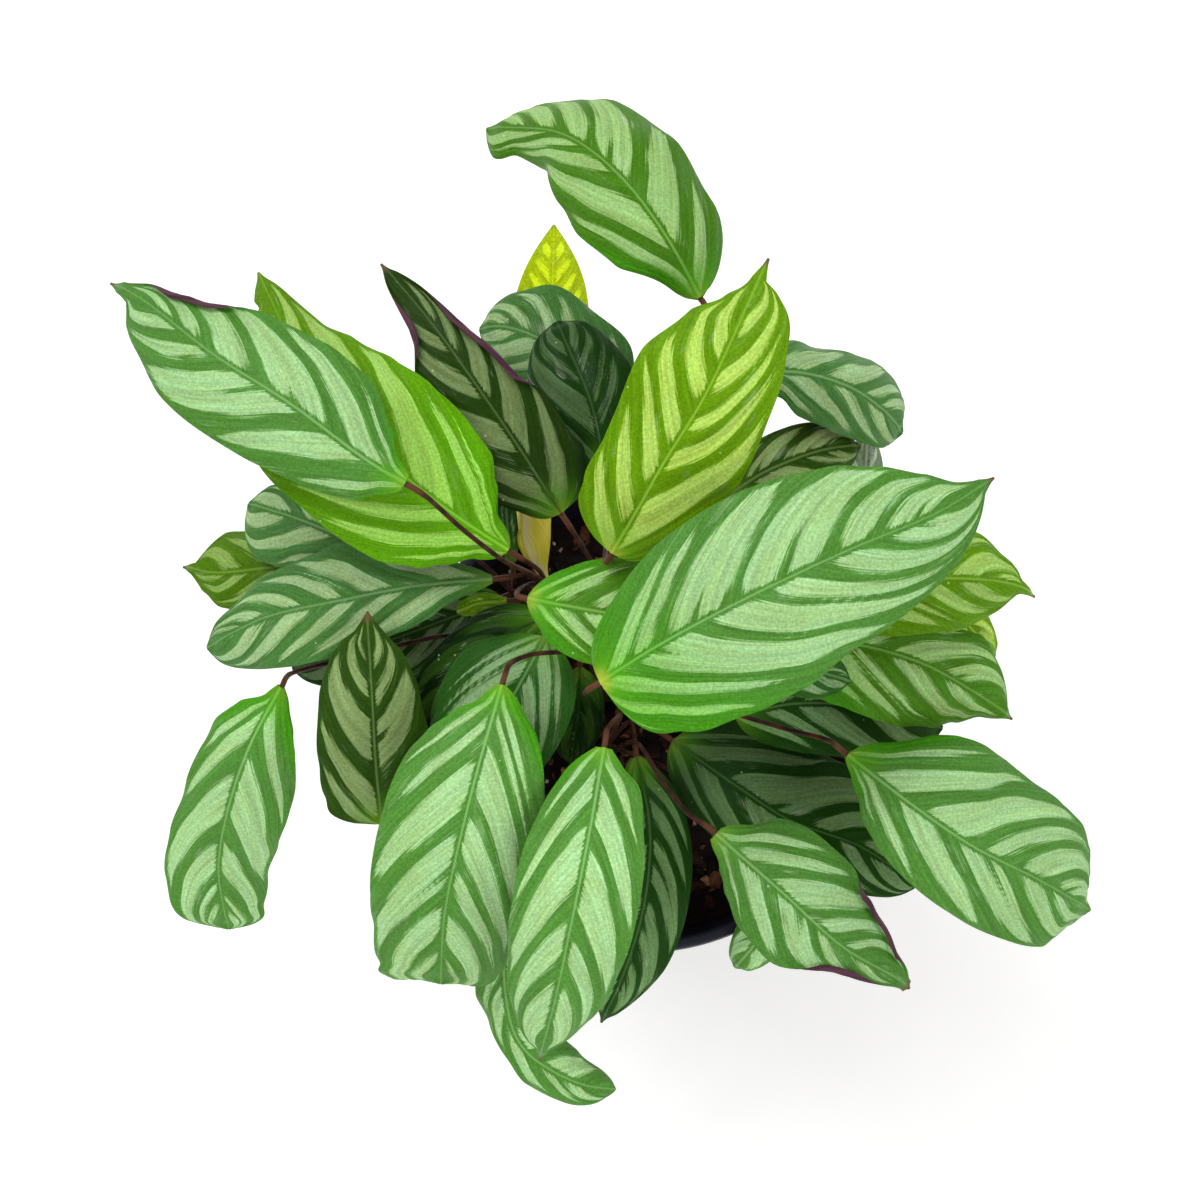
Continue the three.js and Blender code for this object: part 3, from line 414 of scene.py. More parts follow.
# shade, dusk and deep are darker tones for leaves low in the clump: partly their own darker green, partly
# painted shade where the leaves above cover them.
TONES = {  # ground and bars
    "silver": ("#A6D08F", "#538B36"),
    "meadow": ("#A2CC7C", "#4C8414"),
    "fresh": ("#86CA56", "#489812"),
    "grass": ("#9EC462", "#5C8C04"),
    "lime": ("#B6DA60", "#699A00"),
    "spring": ("#A8E85A", "#66B000"),
    "frost": ("#9ABA82", "#487A38"),
    "moss": ("#88AC76", "#2C5E1A"),
    "shade": ("#6C905A", "#1A4408"),
    "dusk": ("#4A663C", "#163A08"),
    "deep": ("#2E5410", "#0C2E02"),
    "olive": ("#80985E", "#284804"),
    "ash": ("#B4C6AA", "#7A9272"),
    "young": ("#E4FA20", "#B8D006"),
}
LEAVES = [
    # the back of the clump
    dict(
        shoot="right", tone="meadow", light=0.85,
        midrib=[(700, 297, 238), (668, 238, 248), (621, 176, 250), (563, 133, 238), (484, 126, 212)],
        half=(21, 19), drop=(7, 12), ends=(0.45, 0.55), via=[(668, 470, 190)],
        trim_left=[
            (0.05, 0.5), (0.2, 0.82), (0.35, 0.88), (0.5, 0.75), (0.72, 0.48), (0.85, 0.45), (0.95, 0.85),
        ],
        trim_right=[(0.05, 1.3), (0.25, 1.08), (0.45, 1.12), (0.65, 1.1), (0.85, 1.05), (1, 0.8)],
        sweep=(1.5, 0.6),
        left_pale=[(-0.09, 0.03), (0.125, 0.3), (0.39, 0.48), (0.54, 0.61), (0.69, 0.85)],
        right_pale=[(-0.03, 0.045), (0.13, 0.28), (0.35, 0.495), (0.54, 0.63), (0.67, 0.76), (0.8, 0.87)],
        right_short=[(0.44, 0.4)], base_tone=("fresh", 0.15),
    ),
    dict(
        shoot="back_left",
        midrib=[
            (543, 577, 158), (533, 540, 165), (537, 480, 171), (546, 400, 174), (552, 300, 172),
            (554, 225, 163),
        ],
    ),
    dict(
        shoot="back", tone="frost", light=0.92,
        midrib=[(612, 415, 178), (575, 362, 185), (540, 338, 185), (505, 326, 181), (477, 328, 175)],
        half=(13, 15), drop=(3, 5), ends=(0.5, 0.5),
        trim_left=[(0.3, 1), (0.5, 1.22), (0.75, 1.3), (0.92, 1)],
        trim_right=[(0.2, 1.25), (0.4, 1.12), (0.7, 1.3), (0.85, 1.1), (1, 0.9)], sweep=(0.9, 0.2),
        left_pale=[(0, 0.2), (0.3, 0.42), (0.5, 0.62), (0.7, 0.85)],
        right_pale=[
            (-0.2, -0.1), (-0.04, 0.06), (0.12, 0.2), (0.28, 0.37), (0.45, 0.55), (0.62, 0.7), (0.76, 0.84),
        ],
    ),
    dict(
        shoot="back", tone="dusk",
        midrib=[(604, 480, 190), (598, 430, 195), (587, 390, 197), (572, 355, 196), (556, 319, 190)],
        half=(16, 15), drop=(3, 3), ends=(0.5, 0.5), trim_left=[(0.02, 1.7), (0.14, 1.15), (0.3, 1)],
        sweep=(0.8, 0.5), left_pale=[(-0.05, 0.1), (0.2, 0.44), (0.53, 0.6), (0.68, 0.8)],
        right_pale=[(0, 0.15), (0.27, 0.34), (0.4, 0.47), (0.56, 0.63), (0.7, 0.8)],
    ),
    dict(
        shoot="back", tone="lime", light=0.94,
        midrib=[
            (612, 553, 222), (642, 501, 236), (664, 462, 243), (704, 397, 254), (747, 306, 262),
            (769, 257, 262),
        ],
        half=(18, 20), drop=(3, 3), widest=0.5, ends=(0.4, 0.6), lobe=0.93, via=[(606, 545, 206)],
        trim_left=[
            (0.05, 1.4), (0.15, 1.2), (0.3, 1.05), (0.6, 1.18), (0.77, 0.95), (0.85, 0.62), (0.92, 0.35),
        ],
        trim_right=[(0.1, 0.9), (0.4, 1), (0.6, 0.9), (0.76, 0.92), (0.9, 1.12), (0.93, 1.3)],
        sweep=(0.6, 1.2),
        left_pale=[
            (-0.1, 0.02), (0.085, 0.175), (0.25, 0.33), (0.375, 0.455), (0.525, 0.605), (0.66, 0.74),
        ],
        right_pale=[(-0.01, 0.2), (0.295, 0.385), (0.435, 0.495), (0.555, 0.645), (0.72, 0.8)], heel=0.4,
    ),
    # the right of the clump
    dict(
        shoot="middle", tone="silver", light=0.95,
        midrib=[
            (600, 682, 236), (660, 644, 248), (750, 596, 258), (850, 549, 262), (940, 511, 256),
            (996, 476, 248),
        ],
        half=(23, 29), drop=(2, 7), ends=(0.42, 0.8), lobe=0.96, via=[(585, 693, 226)],
        trim_left=[
            (0.09, 1), (0.3, 1.12), (0.5, 1.13), (0.65, 1.06), (0.75, 1), (0.85, 0.86), (0.93, 0.58),
        ],
        trim_right=[
            (0, 1.4), (0.1, 1.1), (0.25, 0.98), (0.4, 0.94), (0.55, 0.81), (0.8, 0.8), (0.93, 0.78),
        ],
        slant=1, sweep=(0.6, 1.1),
        left_pale=[(0, 0.06), (0.08, 0.14), (0.178, 0.325), (0.36, 0.54), (0.575, 0.655), (0.69, 0.8)],
        right_pale=[
            (-0.46, -0.33), (-0.2, -0.1), (-0.03, 0.035), (0.085, 0.235), (0.28, 0.385), (0.42, 0.49),
            (0.54, 0.63), (0.685, 0.82),
        ],
        left_short=[(0.25, 0.35), (0.455, 0.68), (0.76, 0.35)], right_short=[(0.15, 0.35), (0.76, 0.35)],
        base_tone=("fresh", 0.34), heel=0.6,
    ),
    dict(
        shoot="right", tone="frost", light=1.05,
        midrib=[(735, 378, 216), (790, 371, 220), (845, 384, 215), (885, 410, 203), (906, 434, 190)],
        half=(13, 14), drop=(9, 4), widest=0.6, ends=(0.6, 0.42), via=[(698, 470, 186)],
        trim_left=[(0.25, 1.05), (0.4, 0.88), (0.6, 0.95), (0.8, 1.15)],
        trim_right=[(0.18, 0.7), (0.3, 0.97), (0.5, 0.95), (0.75, 0.83)], sweep=(0.6, 1.2),
        left_pale=[(-0.1, 0), (0.12, 0.285), (0.375, 0.535), (0.61, 0.665), (0.72, 0.78)],
        right_pale=[(-0.08, 0.05), (0.17, 0.325), (0.415, 0.525), (0.61, 0.76)],
    ),
    dict(
        shoot="right", tone="olive", light=1.4,
        midrib=[(724, 498, 197), (764, 472, 203), (820, 450, 202), (862, 444, 196)], half=(10, 11),
        drop=(3, 3),
    ),
    dict(
        shoot="right", tone="ash", light=1.6, midrib=[(835, 545, 176), (862, 490, 186), (868, 430, 184)],
        half=(6, 6), drop=(2, 2),
    ),
    dict(
        shoot="right", tone="grass", light=1.06,
        midrib=[(820, 596, 204), (880, 584, 214), (950, 578, 214), (1010, 583, 206), (1038, 597, 196)],
        half=(14, 14), drop=(3, 4), widest=0.5, ends=(0.5, 0.6), lobe=0.87,
        trim_left=[(0.2, 1.15), (0.5, 1.1), (0.7, 1.15), (0.8, 0.9)],
        trim_right=[(0.2, 1.15), (0.5, 1.05), (0.8, 0.85)], sweep=(1, 1),
        left_pale=[(-0.1, 0.02), (0.1, 0.22), (0.3, 0.44), (0.52, 0.66), (0.72, 0.78)],
        right_pale=[(-0.1, 0), (0.07, 0.19), (0.22, 0.29), (0.375, 0.465), (0.535, 0.64)],
    ),
    dict(
        shoot="right", tone="lime", light=1.15, midrib=[(900, 588, 170), (960, 618, 176), (997, 658, 168)],
        half=(8, 8), drop=(2, 2),
    ),
    dict(
        shoot="front_right", tone="meadow",
        midrib=[(790, 640, 194), (850, 643, 198), (920, 662, 196), (980, 695, 186), (1015, 720, 174)],
        half=(14, 19), drop=(3, 4), ends=(0.5, 0.55), lobe=0.93,
        trim_left=[(0.55, 1), (0.7, 1.22), (0.9, 1.3)],
        trim_right=[(0.1, 1.2), (0.25, 1.04), (0.5, 1), (0.65, 0.86), (0.75, 0.65), (0.85, 0.4)],
        sweep=(1.2, 0.9), left_pale=[(-0.05, 0.1), (0.16, 0.29), (0.36, 0.505), (0.565, 0.68)],
        right_pale=[(-0.12, -0.02), (0.03, 0.15), (0.19, 0.265), (0.36, 0.49), (0.59, 0.68)],
        left_short=[(0.635, 0.5)], base_tone=("fresh", 0.3),
    ),
    dict(
        shoot="front_right", tone="shade", light=1.35,
        midrib=[(735, 715, 171), (800, 703, 178), (870, 708, 178), (945, 728, 166)], half=(14, 15),
        drop=(3, 4), ends=(0.5, 0.6), via=[(690, 690, 162)], sweep=(1, 1),
        left_pale=[(-0.1, 0), (0.08, 0.22), (0.3, 0.48), (0.56, 0.7)],
        right_pale=[(-0.1, 0.02), (0.1, 0.18), (0.25, 0.43), (0.55, 0.7)],
    ),
    dict(
        shoot="front_right", tone="silver", light=0.98,
        midrib=[(848, 755, 196), (909, 802, 202), (968, 843, 198), (1040, 880, 182), (1094, 911, 162)],
        half=(23, 22), drop=(6, 5), widest=0.58, ends=(0.5, 0.38),
        via=[(680, 692, 164), (740, 715, 187), (790, 730, 193), (830, 741, 197)],
        trim_left=[
            (0.05, 1), (0.15, 1.3), (0.25, 1.28), (0.45, 1.22), (0.65, 1.12), (0.85, 1.1), (0.91, 1),
            (0.945, 0.84), (0.96, 0.5), (0.985, 0.32),
        ],
        trim_right=[
            (0.02, 0.4), (0.08, 0.56), (0.15, 0.78), (0.25, 0.86), (0.6, 0.9), (0.88, 0.92), (0.95, 0.55),
            (1, 0.35),
        ],
        sweep=(1, 0.5),
        left_pale=[
            (-0.14, -0.05), (0.06, 0.185), (0.25, 0.41), (0.465, 0.545), (0.605, 0.72), (0.78, 0.88),
        ],
        right_pale=[(-0.12, -0.06), (-0.02, 0.07), (0.165, 0.3), (0.38, 0.54), (0.62, 0.72), (0.765, 0.83)],
        left_short=[(0.83, 0.35)], right_short=[(0.485, 0.8)], base_tone=("fresh", 0.12),
    ),
    dict(
        shoot="front_right", tone="shade", light=1.35,
        midrib=[(673, 741, 150), (740, 788, 161), (790, 820, 162), (860, 846, 156), (920, 886, 145)],
        half=(23, 17), drop=(4, 4), ends=(0.5, 0.55), sweep=(1, 1.2),
        left_pale=[(-0.15, -0.08), (0, 0.12), (0.22, 0.46), (0.53, 0.63), (0.72, 0.86)],
        right_pale=[(-0.1, 0), (0.07, 0.2), (0.3, 0.44), (0.5, 0.58), (0.64, 0.71), (0.77, 0.88)],
        # the dusk base paints in the shade that the leaves above cast on its foot
        left_short=[(0.4, 0.35)], base_tone=("dusk", 0.72),
    ),
    # the front of the clump
    dict(
        shoot="front", tone="silver", light=0.9,
        midrib=[(716, 834, 190), (782, 892, 196), (842, 946, 186), (900, 980, 170), (912, 990, 166)],
        half=(18, 15), drop=(4, 4), widest=0.38, ends=(0.5, 1.25), lobe=0.98,
        via=[(637, 743, 164), (662, 781, 176), (690, 815, 187)],
        trim_left=[(0.05, 0.8), (0.12, 1.15), (0.35, 1.08), (0.5, 1.1), (0.64, 1.2), (0.8, 1.35)],
        trim_right=[
            (0.05, 0.5), (0.1, 0.68), (0.16, 0.85), (0.27, 1.03), (0.45, 1.1), (0.55, 1), (0.65, 0.85),
            (0.95, 0.85),
        ],
        sweep=(0.9, 0.8),
        left_pale=[(-0.08, 0), (0.07, 0.155), (0.235, 0.385), (0.45, 0.535), (0.6, 0.66)],
        right_pale=[(-0.08, 0), (0.09, 0.195), (0.28, 0.425), (0.48, 0.555), (0.655, 0.73)],
        right_short=[(0.385, 0.4)], rolled=[("left", 0.42, 0.97), ("right", 0.45, 0.97)],
    ),
    dict(
        shoot="front", tone="silver", light=1.15,
        midrib=[(800, 880, 146), (775, 918, 145), (752, 948, 140), (733, 970, 130)], half=(8, 8),
        drop=(4, 4), ends=(0.5, 0.5), via=[(690, 780, 138), (780, 850, 143)],
    ),
    dict(
        shoot="front", tone="shade", light=1.3,
        midrib=[(637, 757, 158), (650, 830, 166), (645, 900, 162), (625, 970, 149), (600, 1025, 130)],
        # the deep base paints in the shade on its foot, under the leaves above
        half=(13, 14), drop=(3, 3), ends=(0.6, 1.1), base_tone=("deep", 0.42),
    ),
    dict(
        shoot="front", tone="silver", light=1.1,
        midrib=[(604, 748, 204), (588, 840, 216), (572, 920, 212), (555, 1000, 194), (538, 1063, 166)],
        half=(17, 18), drop=(5, 5), widest=0.48, ends=(0.6, 0.6), lobe=0.94,
        via=[(620, 715, 196), (607, 730, 203)],
        trim_left=[
            (0.04, 0.95), (0.08, 1.2), (0.2, 1.05), (0.45, 1.01), (0.65, 0.93), (0.88, 0.8), (0.93, 0.6),
        ],
        trim_right=[
            (0.04, 1.15), (0.1, 1.05), (0.3, 1), (0.5, 0.95), (0.65, 0.92), (0.8, 0.96), (0.92, 1.05),
        ],
        sweep=(1.1, 1.4),
        left_pale=[(-0.06, 0.01), (0.085, 0.205), (0.27, 0.425), (0.49, 0.57), (0.64, 0.8)],
        right_pale=[(-0.14, -0.07), (0.03, 0.13), (0.21, 0.38), (0.445, 0.56), (0.63, 0.81)],
        right_short=[(0.36, 0.15)], base_tone=("fresh", 0.08),
    ),
    dict(
        shoot="front", tone="silver", light=1.12,
        midrib=[(508, 880, 160), (503, 965, 150), (520, 1044, 137), (575, 1082, 127), (618, 1090, 118)],
        half=(9, 9), drop=(8, 4), widest=0.55, ends=(0.6, 0.5), trim_left=[(0.8, 1.2)],
        trim_right=[(0.4, 1.05), (0.5, 0.72), (0.6, 0.65), (0.7, 0.88), (0.9, 1)], sweep=(0.8, 1.4),
        left_pale=[(0, 0.12), (0.2, 0.4), (0.5, 0.6), (0.68, 0.8)],
        right_pale=[
            (-0.1, 0), (0.06, 0.2), (0.25, 0.3), (0.34, 0.43), (0.5, 0.6), (0.68, 0.73), (0.78, 0.84),
        ],
    ),
    # the left of the clump
    dict(
        shoot="middle", tone="silver", light=1.04,
        midrib=[(502, 685, 204), (480, 760, 208), (462, 830, 206), (445, 910, 194), (440, 987, 170)],
        half=(20, 24), drop=(6, 6), widest=0.55, ends=(0.6, 0.4),
        via=[(590, 650, 180), (560, 652, 197), (530, 655, 203), (510, 664, 206)],
        trim_left=[
            (0.05, 1), (0.1, 1.15), (0.3, 1.13), (0.6, 1.1), (0.84, 1.14), (0.93, 1.3), (0.985, 1.6),
        ],
        trim_right=[
            (0.05, 0.55), (0.1, 0.83), (0.17, 0.98), (0.25, 1.03), (0.5, 0.99), (0.7, 0.96), (0.82, 1),
            (0.92, 1.15), (0.98, 1.6),
        ],
        sweep=(1.2, 0.4),
        left_pale=[
            (-0.04, 0.02), (0.05, 0.09), (0.16, 0.31), (0.37, 0.485), (0.535, 0.605), (0.675, 0.8),
            (0.86, 0.9),
        ],
        right_pale=[(-0.12, -0.02), (0.055, 0.12), (0.2, 0.35), (0.42, 0.59), (0.645, 0.77), (0.82, 0.88)],
        right_short=[(0.545, 0.55)], base_tone=("fresh", 0.12), notched=(4, 5),
    ),
    dict(
        shoot="left", tone="olive", light=1.22,
        midrib=[(382, 824, 160), (376, 770, 172), (372, 700, 188), (367, 614, 206)], half=(15, 15),
        drop=(2, 2), ends=(0.3, 0.6), lobe=0.96,
        trim_left=[
            (0.04, 1.5), (0.13, 1.29), (0.3, 1.14), (0.6, 1.07), (0.76, 1), (0.86, 0.9), (0.93, 0.6),
        ],
        trim_right=[(0.1, 1.1), (0.45, 1.05), (0.6, 0.94), (0.8, 0.88), (0.93, 0.65)], sweep=(1, 0.6),
        left_pale=[(-0.2, -0.05), (0, 0.16), (0.28, 0.505), (0.6, 0.675), (0.75, 0.8)],
        right_pale=[(-0.08, 0.05), (0.25, 0.485), (0.55, 0.64), (0.705, 0.79)], right_short=[(0.39, 0.4)],
    ),
    dict(
        shoot="left", tone="silver", light=1.12,
        midrib=[(281, 687, 167), (251, 742, 161), (230, 800, 145), (218, 868, 122), (228, 932, 98)],
        half=(17, 18), drop=(4, 4), widest=0.55, ends=(0.6, 0.42),
        via=[(460, 637, 170), (400, 645, 175), (325, 664, 174), (295, 672, 172)],
        trim_left=[
            (0.04, 0.85), (0.1, 1.05), (0.16, 1.15), (0.4, 1.1), (0.55, 1.02), (0.72, 0.94), (0.9, 1.05),
            (0.98, 1.4),
        ],
        trim_right=[
            (0.04, 0.5), (0.1, 0.92), (0.19, 1), (0.3, 0.9), (0.5, 0.88), (0.65, 0.98), (0.8, 1.12),
            (0.92, 1.28), (0.98, 1.45),
        ],
        sweep=(1.5, 1.3), left_pale=[(0, 0.105), (0.22, 0.465), (0.57, 0.71), (0.81, 0.86), (0.89, 0.93)],
        right_pale=[(-0.1, 0), (0.06, 0.175), (0.29, 0.5), (0.585, 0.715), (0.765, 0.81), (0.845, 0.875)],
        base_tone=("fresh", 0.2),
    ),
    dict(
        shoot="back_left", tone="meadow",
        midrib=[(528, 598, 206), (570, 606, 212), (620, 615, 214), (690, 630, 208)], half=(14, 14),
        drop=(4, 4), via=[(526, 586, 194)], trim_left=[(0.3, 1.1), (0.63, 1.25)],
        trim_right=[(0.08, 0.8), (0.16, 0.95), (0.45, 1.05)], sweep=(0.8, 0.8),
        left_pale=[(-0.12, -0.02), (0.07, 0.2), (0.38, 0.5), (0.58, 0.7), (0.78, 0.86)],
        right_pale=[(-0.05, 0.05), (0.13, 0.25), (0.33, 0.48), (0.56, 0.7), (0.78, 0.86)],
        left_short=[(0.13, 0.3)], base_tone=("fresh", 0.35), heel=0.4,
    ),
    dict(
        shoot="back_left", tone="silver", light=0.92,
        midrib=[
            (405, 483, 240), (370, 462, 244), (290, 403, 248), (215, 355, 242), (145, 301, 226),
            (108, 281, 214),
        ],
        half=(19, 18), drop=(5, 3), ends=(0.5, 0.85), lobe=0.94,
        via=[(545, 583, 190), (500, 558, 214), (460, 527, 228), (428, 498, 238)],
        trim_left=[
            (0.04, 0.7), (0.08, 0.93), (0.2, 0.97), (0.35, 1), (0.6, 0.98), (0.74, 0.9), (0.84, 0.95),
            (0.9, 0.5),
        ],
        trim_right=[
            (0.03, 0.6), (0.08, 0.97), (0.2, 1.16), (0.3, 1.12), (0.4, 1.04), (0.5, 1), (0.6, 0.95),
            (0.7, 0.82), (0.81, 0.75), (0.9, 0.6),
        ],
        sweep=(0.7, 1.3),
        left_pale=[(-0.12, -0.03), (0.085, 0.2), (0.275, 0.48), (0.54, 0.605), (0.665, 0.75)],
        right_pale=[(-0.1, -0.04), (0.035, 0.15), (0.21, 0.36), (0.42, 0.53), (0.6, 0.665), (0.705, 0.77)],
        left_short=[(0.385, 0.65)], right_short=[(0.3, 0.25)],
        rolled=[("right", 0.5, 0.98), ("left", 0.8, 0.98)], base_tone=("fresh", 0.12),
    ),
    dict(
        shoot="back_left", tone="grass",
        midrib=[
            (508, 550, 203), (460, 518, 213), (416, 485, 221), (365, 440, 228), (315, 385, 226),
            (257, 270, 208),
        ],
        half=(22, 22), drop=(6, 4), ends=(0.42, 1),
        trim_left=[
            (0.05, 0.56), (0.1, 0.8), (0.16, 1), (0.25, 1.13), (0.4, 1.14), (0.55, 1.2), (0.75, 1),
            (0.86, 0.9), (0.9, 0.5), (0.93, 0.72), (0.97, 0.8),
        ],
        trim_right=[
            (0.05, 0.55), (0.1, 0.95), (0.16, 1.15), (0.3, 1.18), (0.4, 1.12), (0.55, 1.03), (0.7, 0.88),
            (0.8, 0.7), (0.9, 0.62),
        ],
        sweep=(1, 1.4), left_pale=[(-0.16, -0.08), (-0.02, 0.08), (0.14, 0.2), (0.3, 0.45), (0.55, 0.7)],
        right_pale=[(-0.1, -0.05), (-0.02, 0.06), (0.145, 0.3), (0.39, 0.6), (0.68, 0.78)],
        base_tone=("spring", 0.75),
    ),
    dict(
        shoot="back", tone="olive", light=0.76,
        midrib=[(561, 513, 194), (521, 450, 206), (478, 387, 212), (432, 323, 212), (380, 262, 205)],
        half=(15, 17), drop=(2, 2), widest=0.28, ends=(0.42, 1.1),
        trim_left=[(0.05, 0.85), (0.15, 1.05), (0.3, 1.2), (0.6, 1.05), (0.95, 1)],
        trim_right=[
            (0.04, 1.3), (0.12, 1.06), (0.2, 0.9), (0.32, 0.88), (0.5, 0.87), (0.65, 0.78), (0.8, 0.73),
            (0.9, 0.7),
        ],
        sweep=(1, 1.1), left_pale=[(-0.15, -0.05), (0, 0.13), (0.215, 0.335), (0.42, 0.51), (0.585, 0.66)],
        right_pale=[(-0.05, 0.085), (0.195, 0.34), (0.405, 0.505), (0.565, 0.625), (0.68, 0.74)],
        # the deep base paints in the shade near its stalk
        rolled=[("right", 0.3, 0.93), ("left", 0.55, 0.93)], base_tone=("deep", 0.12),
    ),
    dict(
        shoot="back_left", tone="frost", light=1.18,
        midrib=[(430, 550, 182), (350, 538, 184), (300, 519, 178), (246, 502, 166)], half=(15, 13),
        drop=(4, 3), ends=(0.5, 0.45), trim_left=[(0.6, 0.95), (0.72, 1.12), (0.9, 1.35)],
        left_pale=[(-0.1, 0.05), (0.12, 0.3), (0.42, 0.58), (0.7, 0.87)],
        right_pale=[(-0.1, 0.1), (0.2, 0.38), (0.45, 0.6), (0.68, 0.88)],
    ),
    dict(
        shoot="back_left", tone="frost", light=1.12,
        midrib=[(492, 579, 190), (420, 585, 196), (340, 600, 192), (265, 617, 182), (204, 648, 166)],
        half=(17, 16), drop=(4, 5), widest=0.55, ends=(0.65, 0.5),
        trim_left=[(0.07, 0.48), (0.14, 0.57), (0.2, 0.72), (0.3, 0.78), (0.45, 0.9), (0.6, 0.95)],
        trim_right=[
            (0.06, 0.72), (0.16, 0.86), (0.27, 0.76), (0.36, 0.94), (0.44, 1.12), (0.57, 1), (0.76, 0.85),
            (0.9, 0.67),
        ],
        sweep=(0.9, 0.8),
        left_pale=[
            (-0.16, -0.1), (-0.02, 0.165), (0.245, 0.34), (0.4, 0.475), (0.555, 0.655), (0.715, 0.8),
        ],
        right_pale=[(-0.05, 0.14), (0.28, 0.39), (0.44, 0.51), (0.58, 0.65), (0.72, 0.78), (0.815, 0.85)],
    ),
    dict(
        shoot="back_left", tone="grass", light=0.78,
        midrib=[(330, 562, 160), (270, 567, 162), (215, 572, 154), (181, 566, 148)], half=(12, 12),
        drop=(3, 3), widest=0.62, ends=(0.55, 0.5), lobe=0.9,
        trim_left=[(0.6, 0.95), (0.7, 0.89), (0.8, 0.63), (0.88, 0.5)],
        trim_right=[(0.6, 1.1), (0.8, 1.2)],
        left_pale=[(-0.05, 0.1), (0.2, 0.35), (0.47, 0.58), (0.66, 0.74)],
        right_pale=[(0, 0.12), (0.22, 0.36), (0.5, 0.66)],
    ),
    dict(
        shoot="left", tone="deep",
        midrib=[(542, 618, 184), (500, 638, 184), (462, 672, 180), (436, 716, 172), (425, 760, 162)],
        half=(10, 11), drop=(2, 3), ends=(0.45, 0.6),
    ),
    dict(
        shoot="left", tone="moss", light=1.05,
        midrib=[(545, 637, 187), (530, 665, 190), (500, 720, 187), (460, 800, 172)], half=(18, 21),
        drop=(4, 6), ends=(0.45, 0.6),
    ),
    dict(
        shoot="back_left", tone="moss",
        midrib=[(500, 598, 160), (430, 625, 163), (360, 650, 160), (290, 668, 150)], half=(12, 12),
        drop=(3, 3),
    ),
    dict(
        shoot="back_left", tone="lime", light=1.3,
        midrib=[(506, 601, 178), (480, 603, 180), (455, 612, 176)], half=(3, 3), drop=(1, 1),
    ),
    dict(
        shoot="front", tone="deep", midrib=[(580, 668, 150), (578, 710, 153), (570, 765, 146)],
        half=(8, 8), drop=(2, 2),
    ),
    dict(
        shoot="back_left", tone="moss", midrib=[(512, 562, 166), (507, 520, 178), (505, 470, 182)],
        half=(3, 3), drop=(1, 1),
    ),
    dict(
        shoot="right", tone="moss", light=1.05, midrib=[(730, 640, 206), (790, 662, 210), (852, 681, 204)],
        half=(9, 9), drop=(2, 2),
    ),
]


def curve_through(points):
    """A smooth centripetal curve through points: close points on it and how far along each one lies."""
    knots = np.array(points, float)
    knots = np.vstack([2 * knots[0] - knots[1], knots, 2 * knots[-1] - knots[-2]])
    close = []
    for a, b, c, d in zip(knots, knots[1:], knots[2:], knots[3:]):
        t0 = 0
        t1 = t0 + math.sqrt(np.linalg.norm(b - a))
        t2 = t1 + math.sqrt(np.linalg.norm(c - b))
        t3 = t2 + math.sqrt(np.linalg.norm(d - c))
        for t in np.linspace(t1, t2, 24, endpoint=False):
            ab = ((t1 - t) * a + (t - t0) * b) / (t1 - t0)
            bc = ((t2 - t) * b + (t - t1) * c) / (t2 - t1)
            cd = ((t3 - t) * c + (t - t2) * d) / (t3 - t2)
            abc = ((t2 - t) * ab + (t - t0) * bc) / (t2 - t0)
            bcd = ((t3 - t) * bc + (t - t1) * cd) / (t3 - t1)
            close.append(((t2 - t) * abc + (t - t1) * bcd) / (t2 - t1))
    close = np.array(close + [knots[-2]])
    lengths = np.concatenate([[0], np.cumsum(np.linalg.norm(np.diff(close, axis=0), axis=1))])
    return close, lengths


def along_curve(curve, distances):
    """Places on a curve and its headings there."""
    close, lengths = curve
    place = np.stack([np.interp(distances, lengths, close[:, k]) for k in range(3)], -1)
    before = np.stack([np.interp(np.asarray(distances) - 1, lengths, close[:, k]) for k in range(3)], -1)
    after = np.stack([np.interp(np.asarray(distances) + 1, lengths, close[:, k]) for k in range(3)], -1)
    heading = after - before
    return place, heading / np.linalg.norm(heading, axis=-1, keepdims=True)


def blade_directions(heading):
    """Which way a blade faces and where its left lies, from its headings."""
    face = np.array([0, 0, 1]) - heading * heading[..., 2:]
    face /= np.linalg.norm(face, axis=-1, keepdims=True)
    return face, np.cross(face, heading)


def step_up(value, low, high):
    """0 below low, 1 above high and smooth between."""
    share = np.clip((value - low) / (high - low), 0, 1)
    return share * share * (3 - 2 * share)


def lobe_share(along, leaf):
    """Half the lobe's width at a share of the length, as a share of the greatest."""
    widest = leaf.get("widest", 0.45)
    base, tip = leaf.get("ends", (0.55, 0.65))
    near = (1 - (1 - np.minimum(along / widest, 1)) ** BASE_ROUND) ** base
    beyond = np.clip((along - widest) / (leaf.get("lobe", 1) - widest), 0, 1)
    return np.where(along < widest, near, (1 - beyond**TIP_ROUND) ** tip)


def half_width(along, leaf, hand):
    """Half the width on one side, 0 left and 1 right: the lobe's, trimmed, and past it the drip tip's."""
    noted = leaf.get(("trim_left", "trim_right")[hand], [(0, 1)])
    trim = np.full_like(along, noted[0][1])
    for (start, low), (stop, high) in zip(noted, noted[1:]):
        trim = np.where(along >= start, low + (high - low) * step_up(along, start, stop), trim)
    body = leaf["half"][hand] * lobe_share(along, leaf) * trim
    lobe = leaf.get("lobe", 1)
    tail = TAIL_HALF * np.minimum(1, (1 - along) / (1 - lobe)) if lobe < 1 else 0
    return np.sqrt(body**2 + tail**2 + (BASE_HALF + (TIP_HALF - BASE_HALF) * along) ** 2)


def keep_note(mesh, note, vectors):
    """Keeps a vector for each point of a mesh, for its materials to read."""
    layer = mesh.attributes.new(note, "FLOAT_VECTOR", "POINT")
    layer.data.foreach_set("vector", np.asarray(vectors, np.float32).ravel())


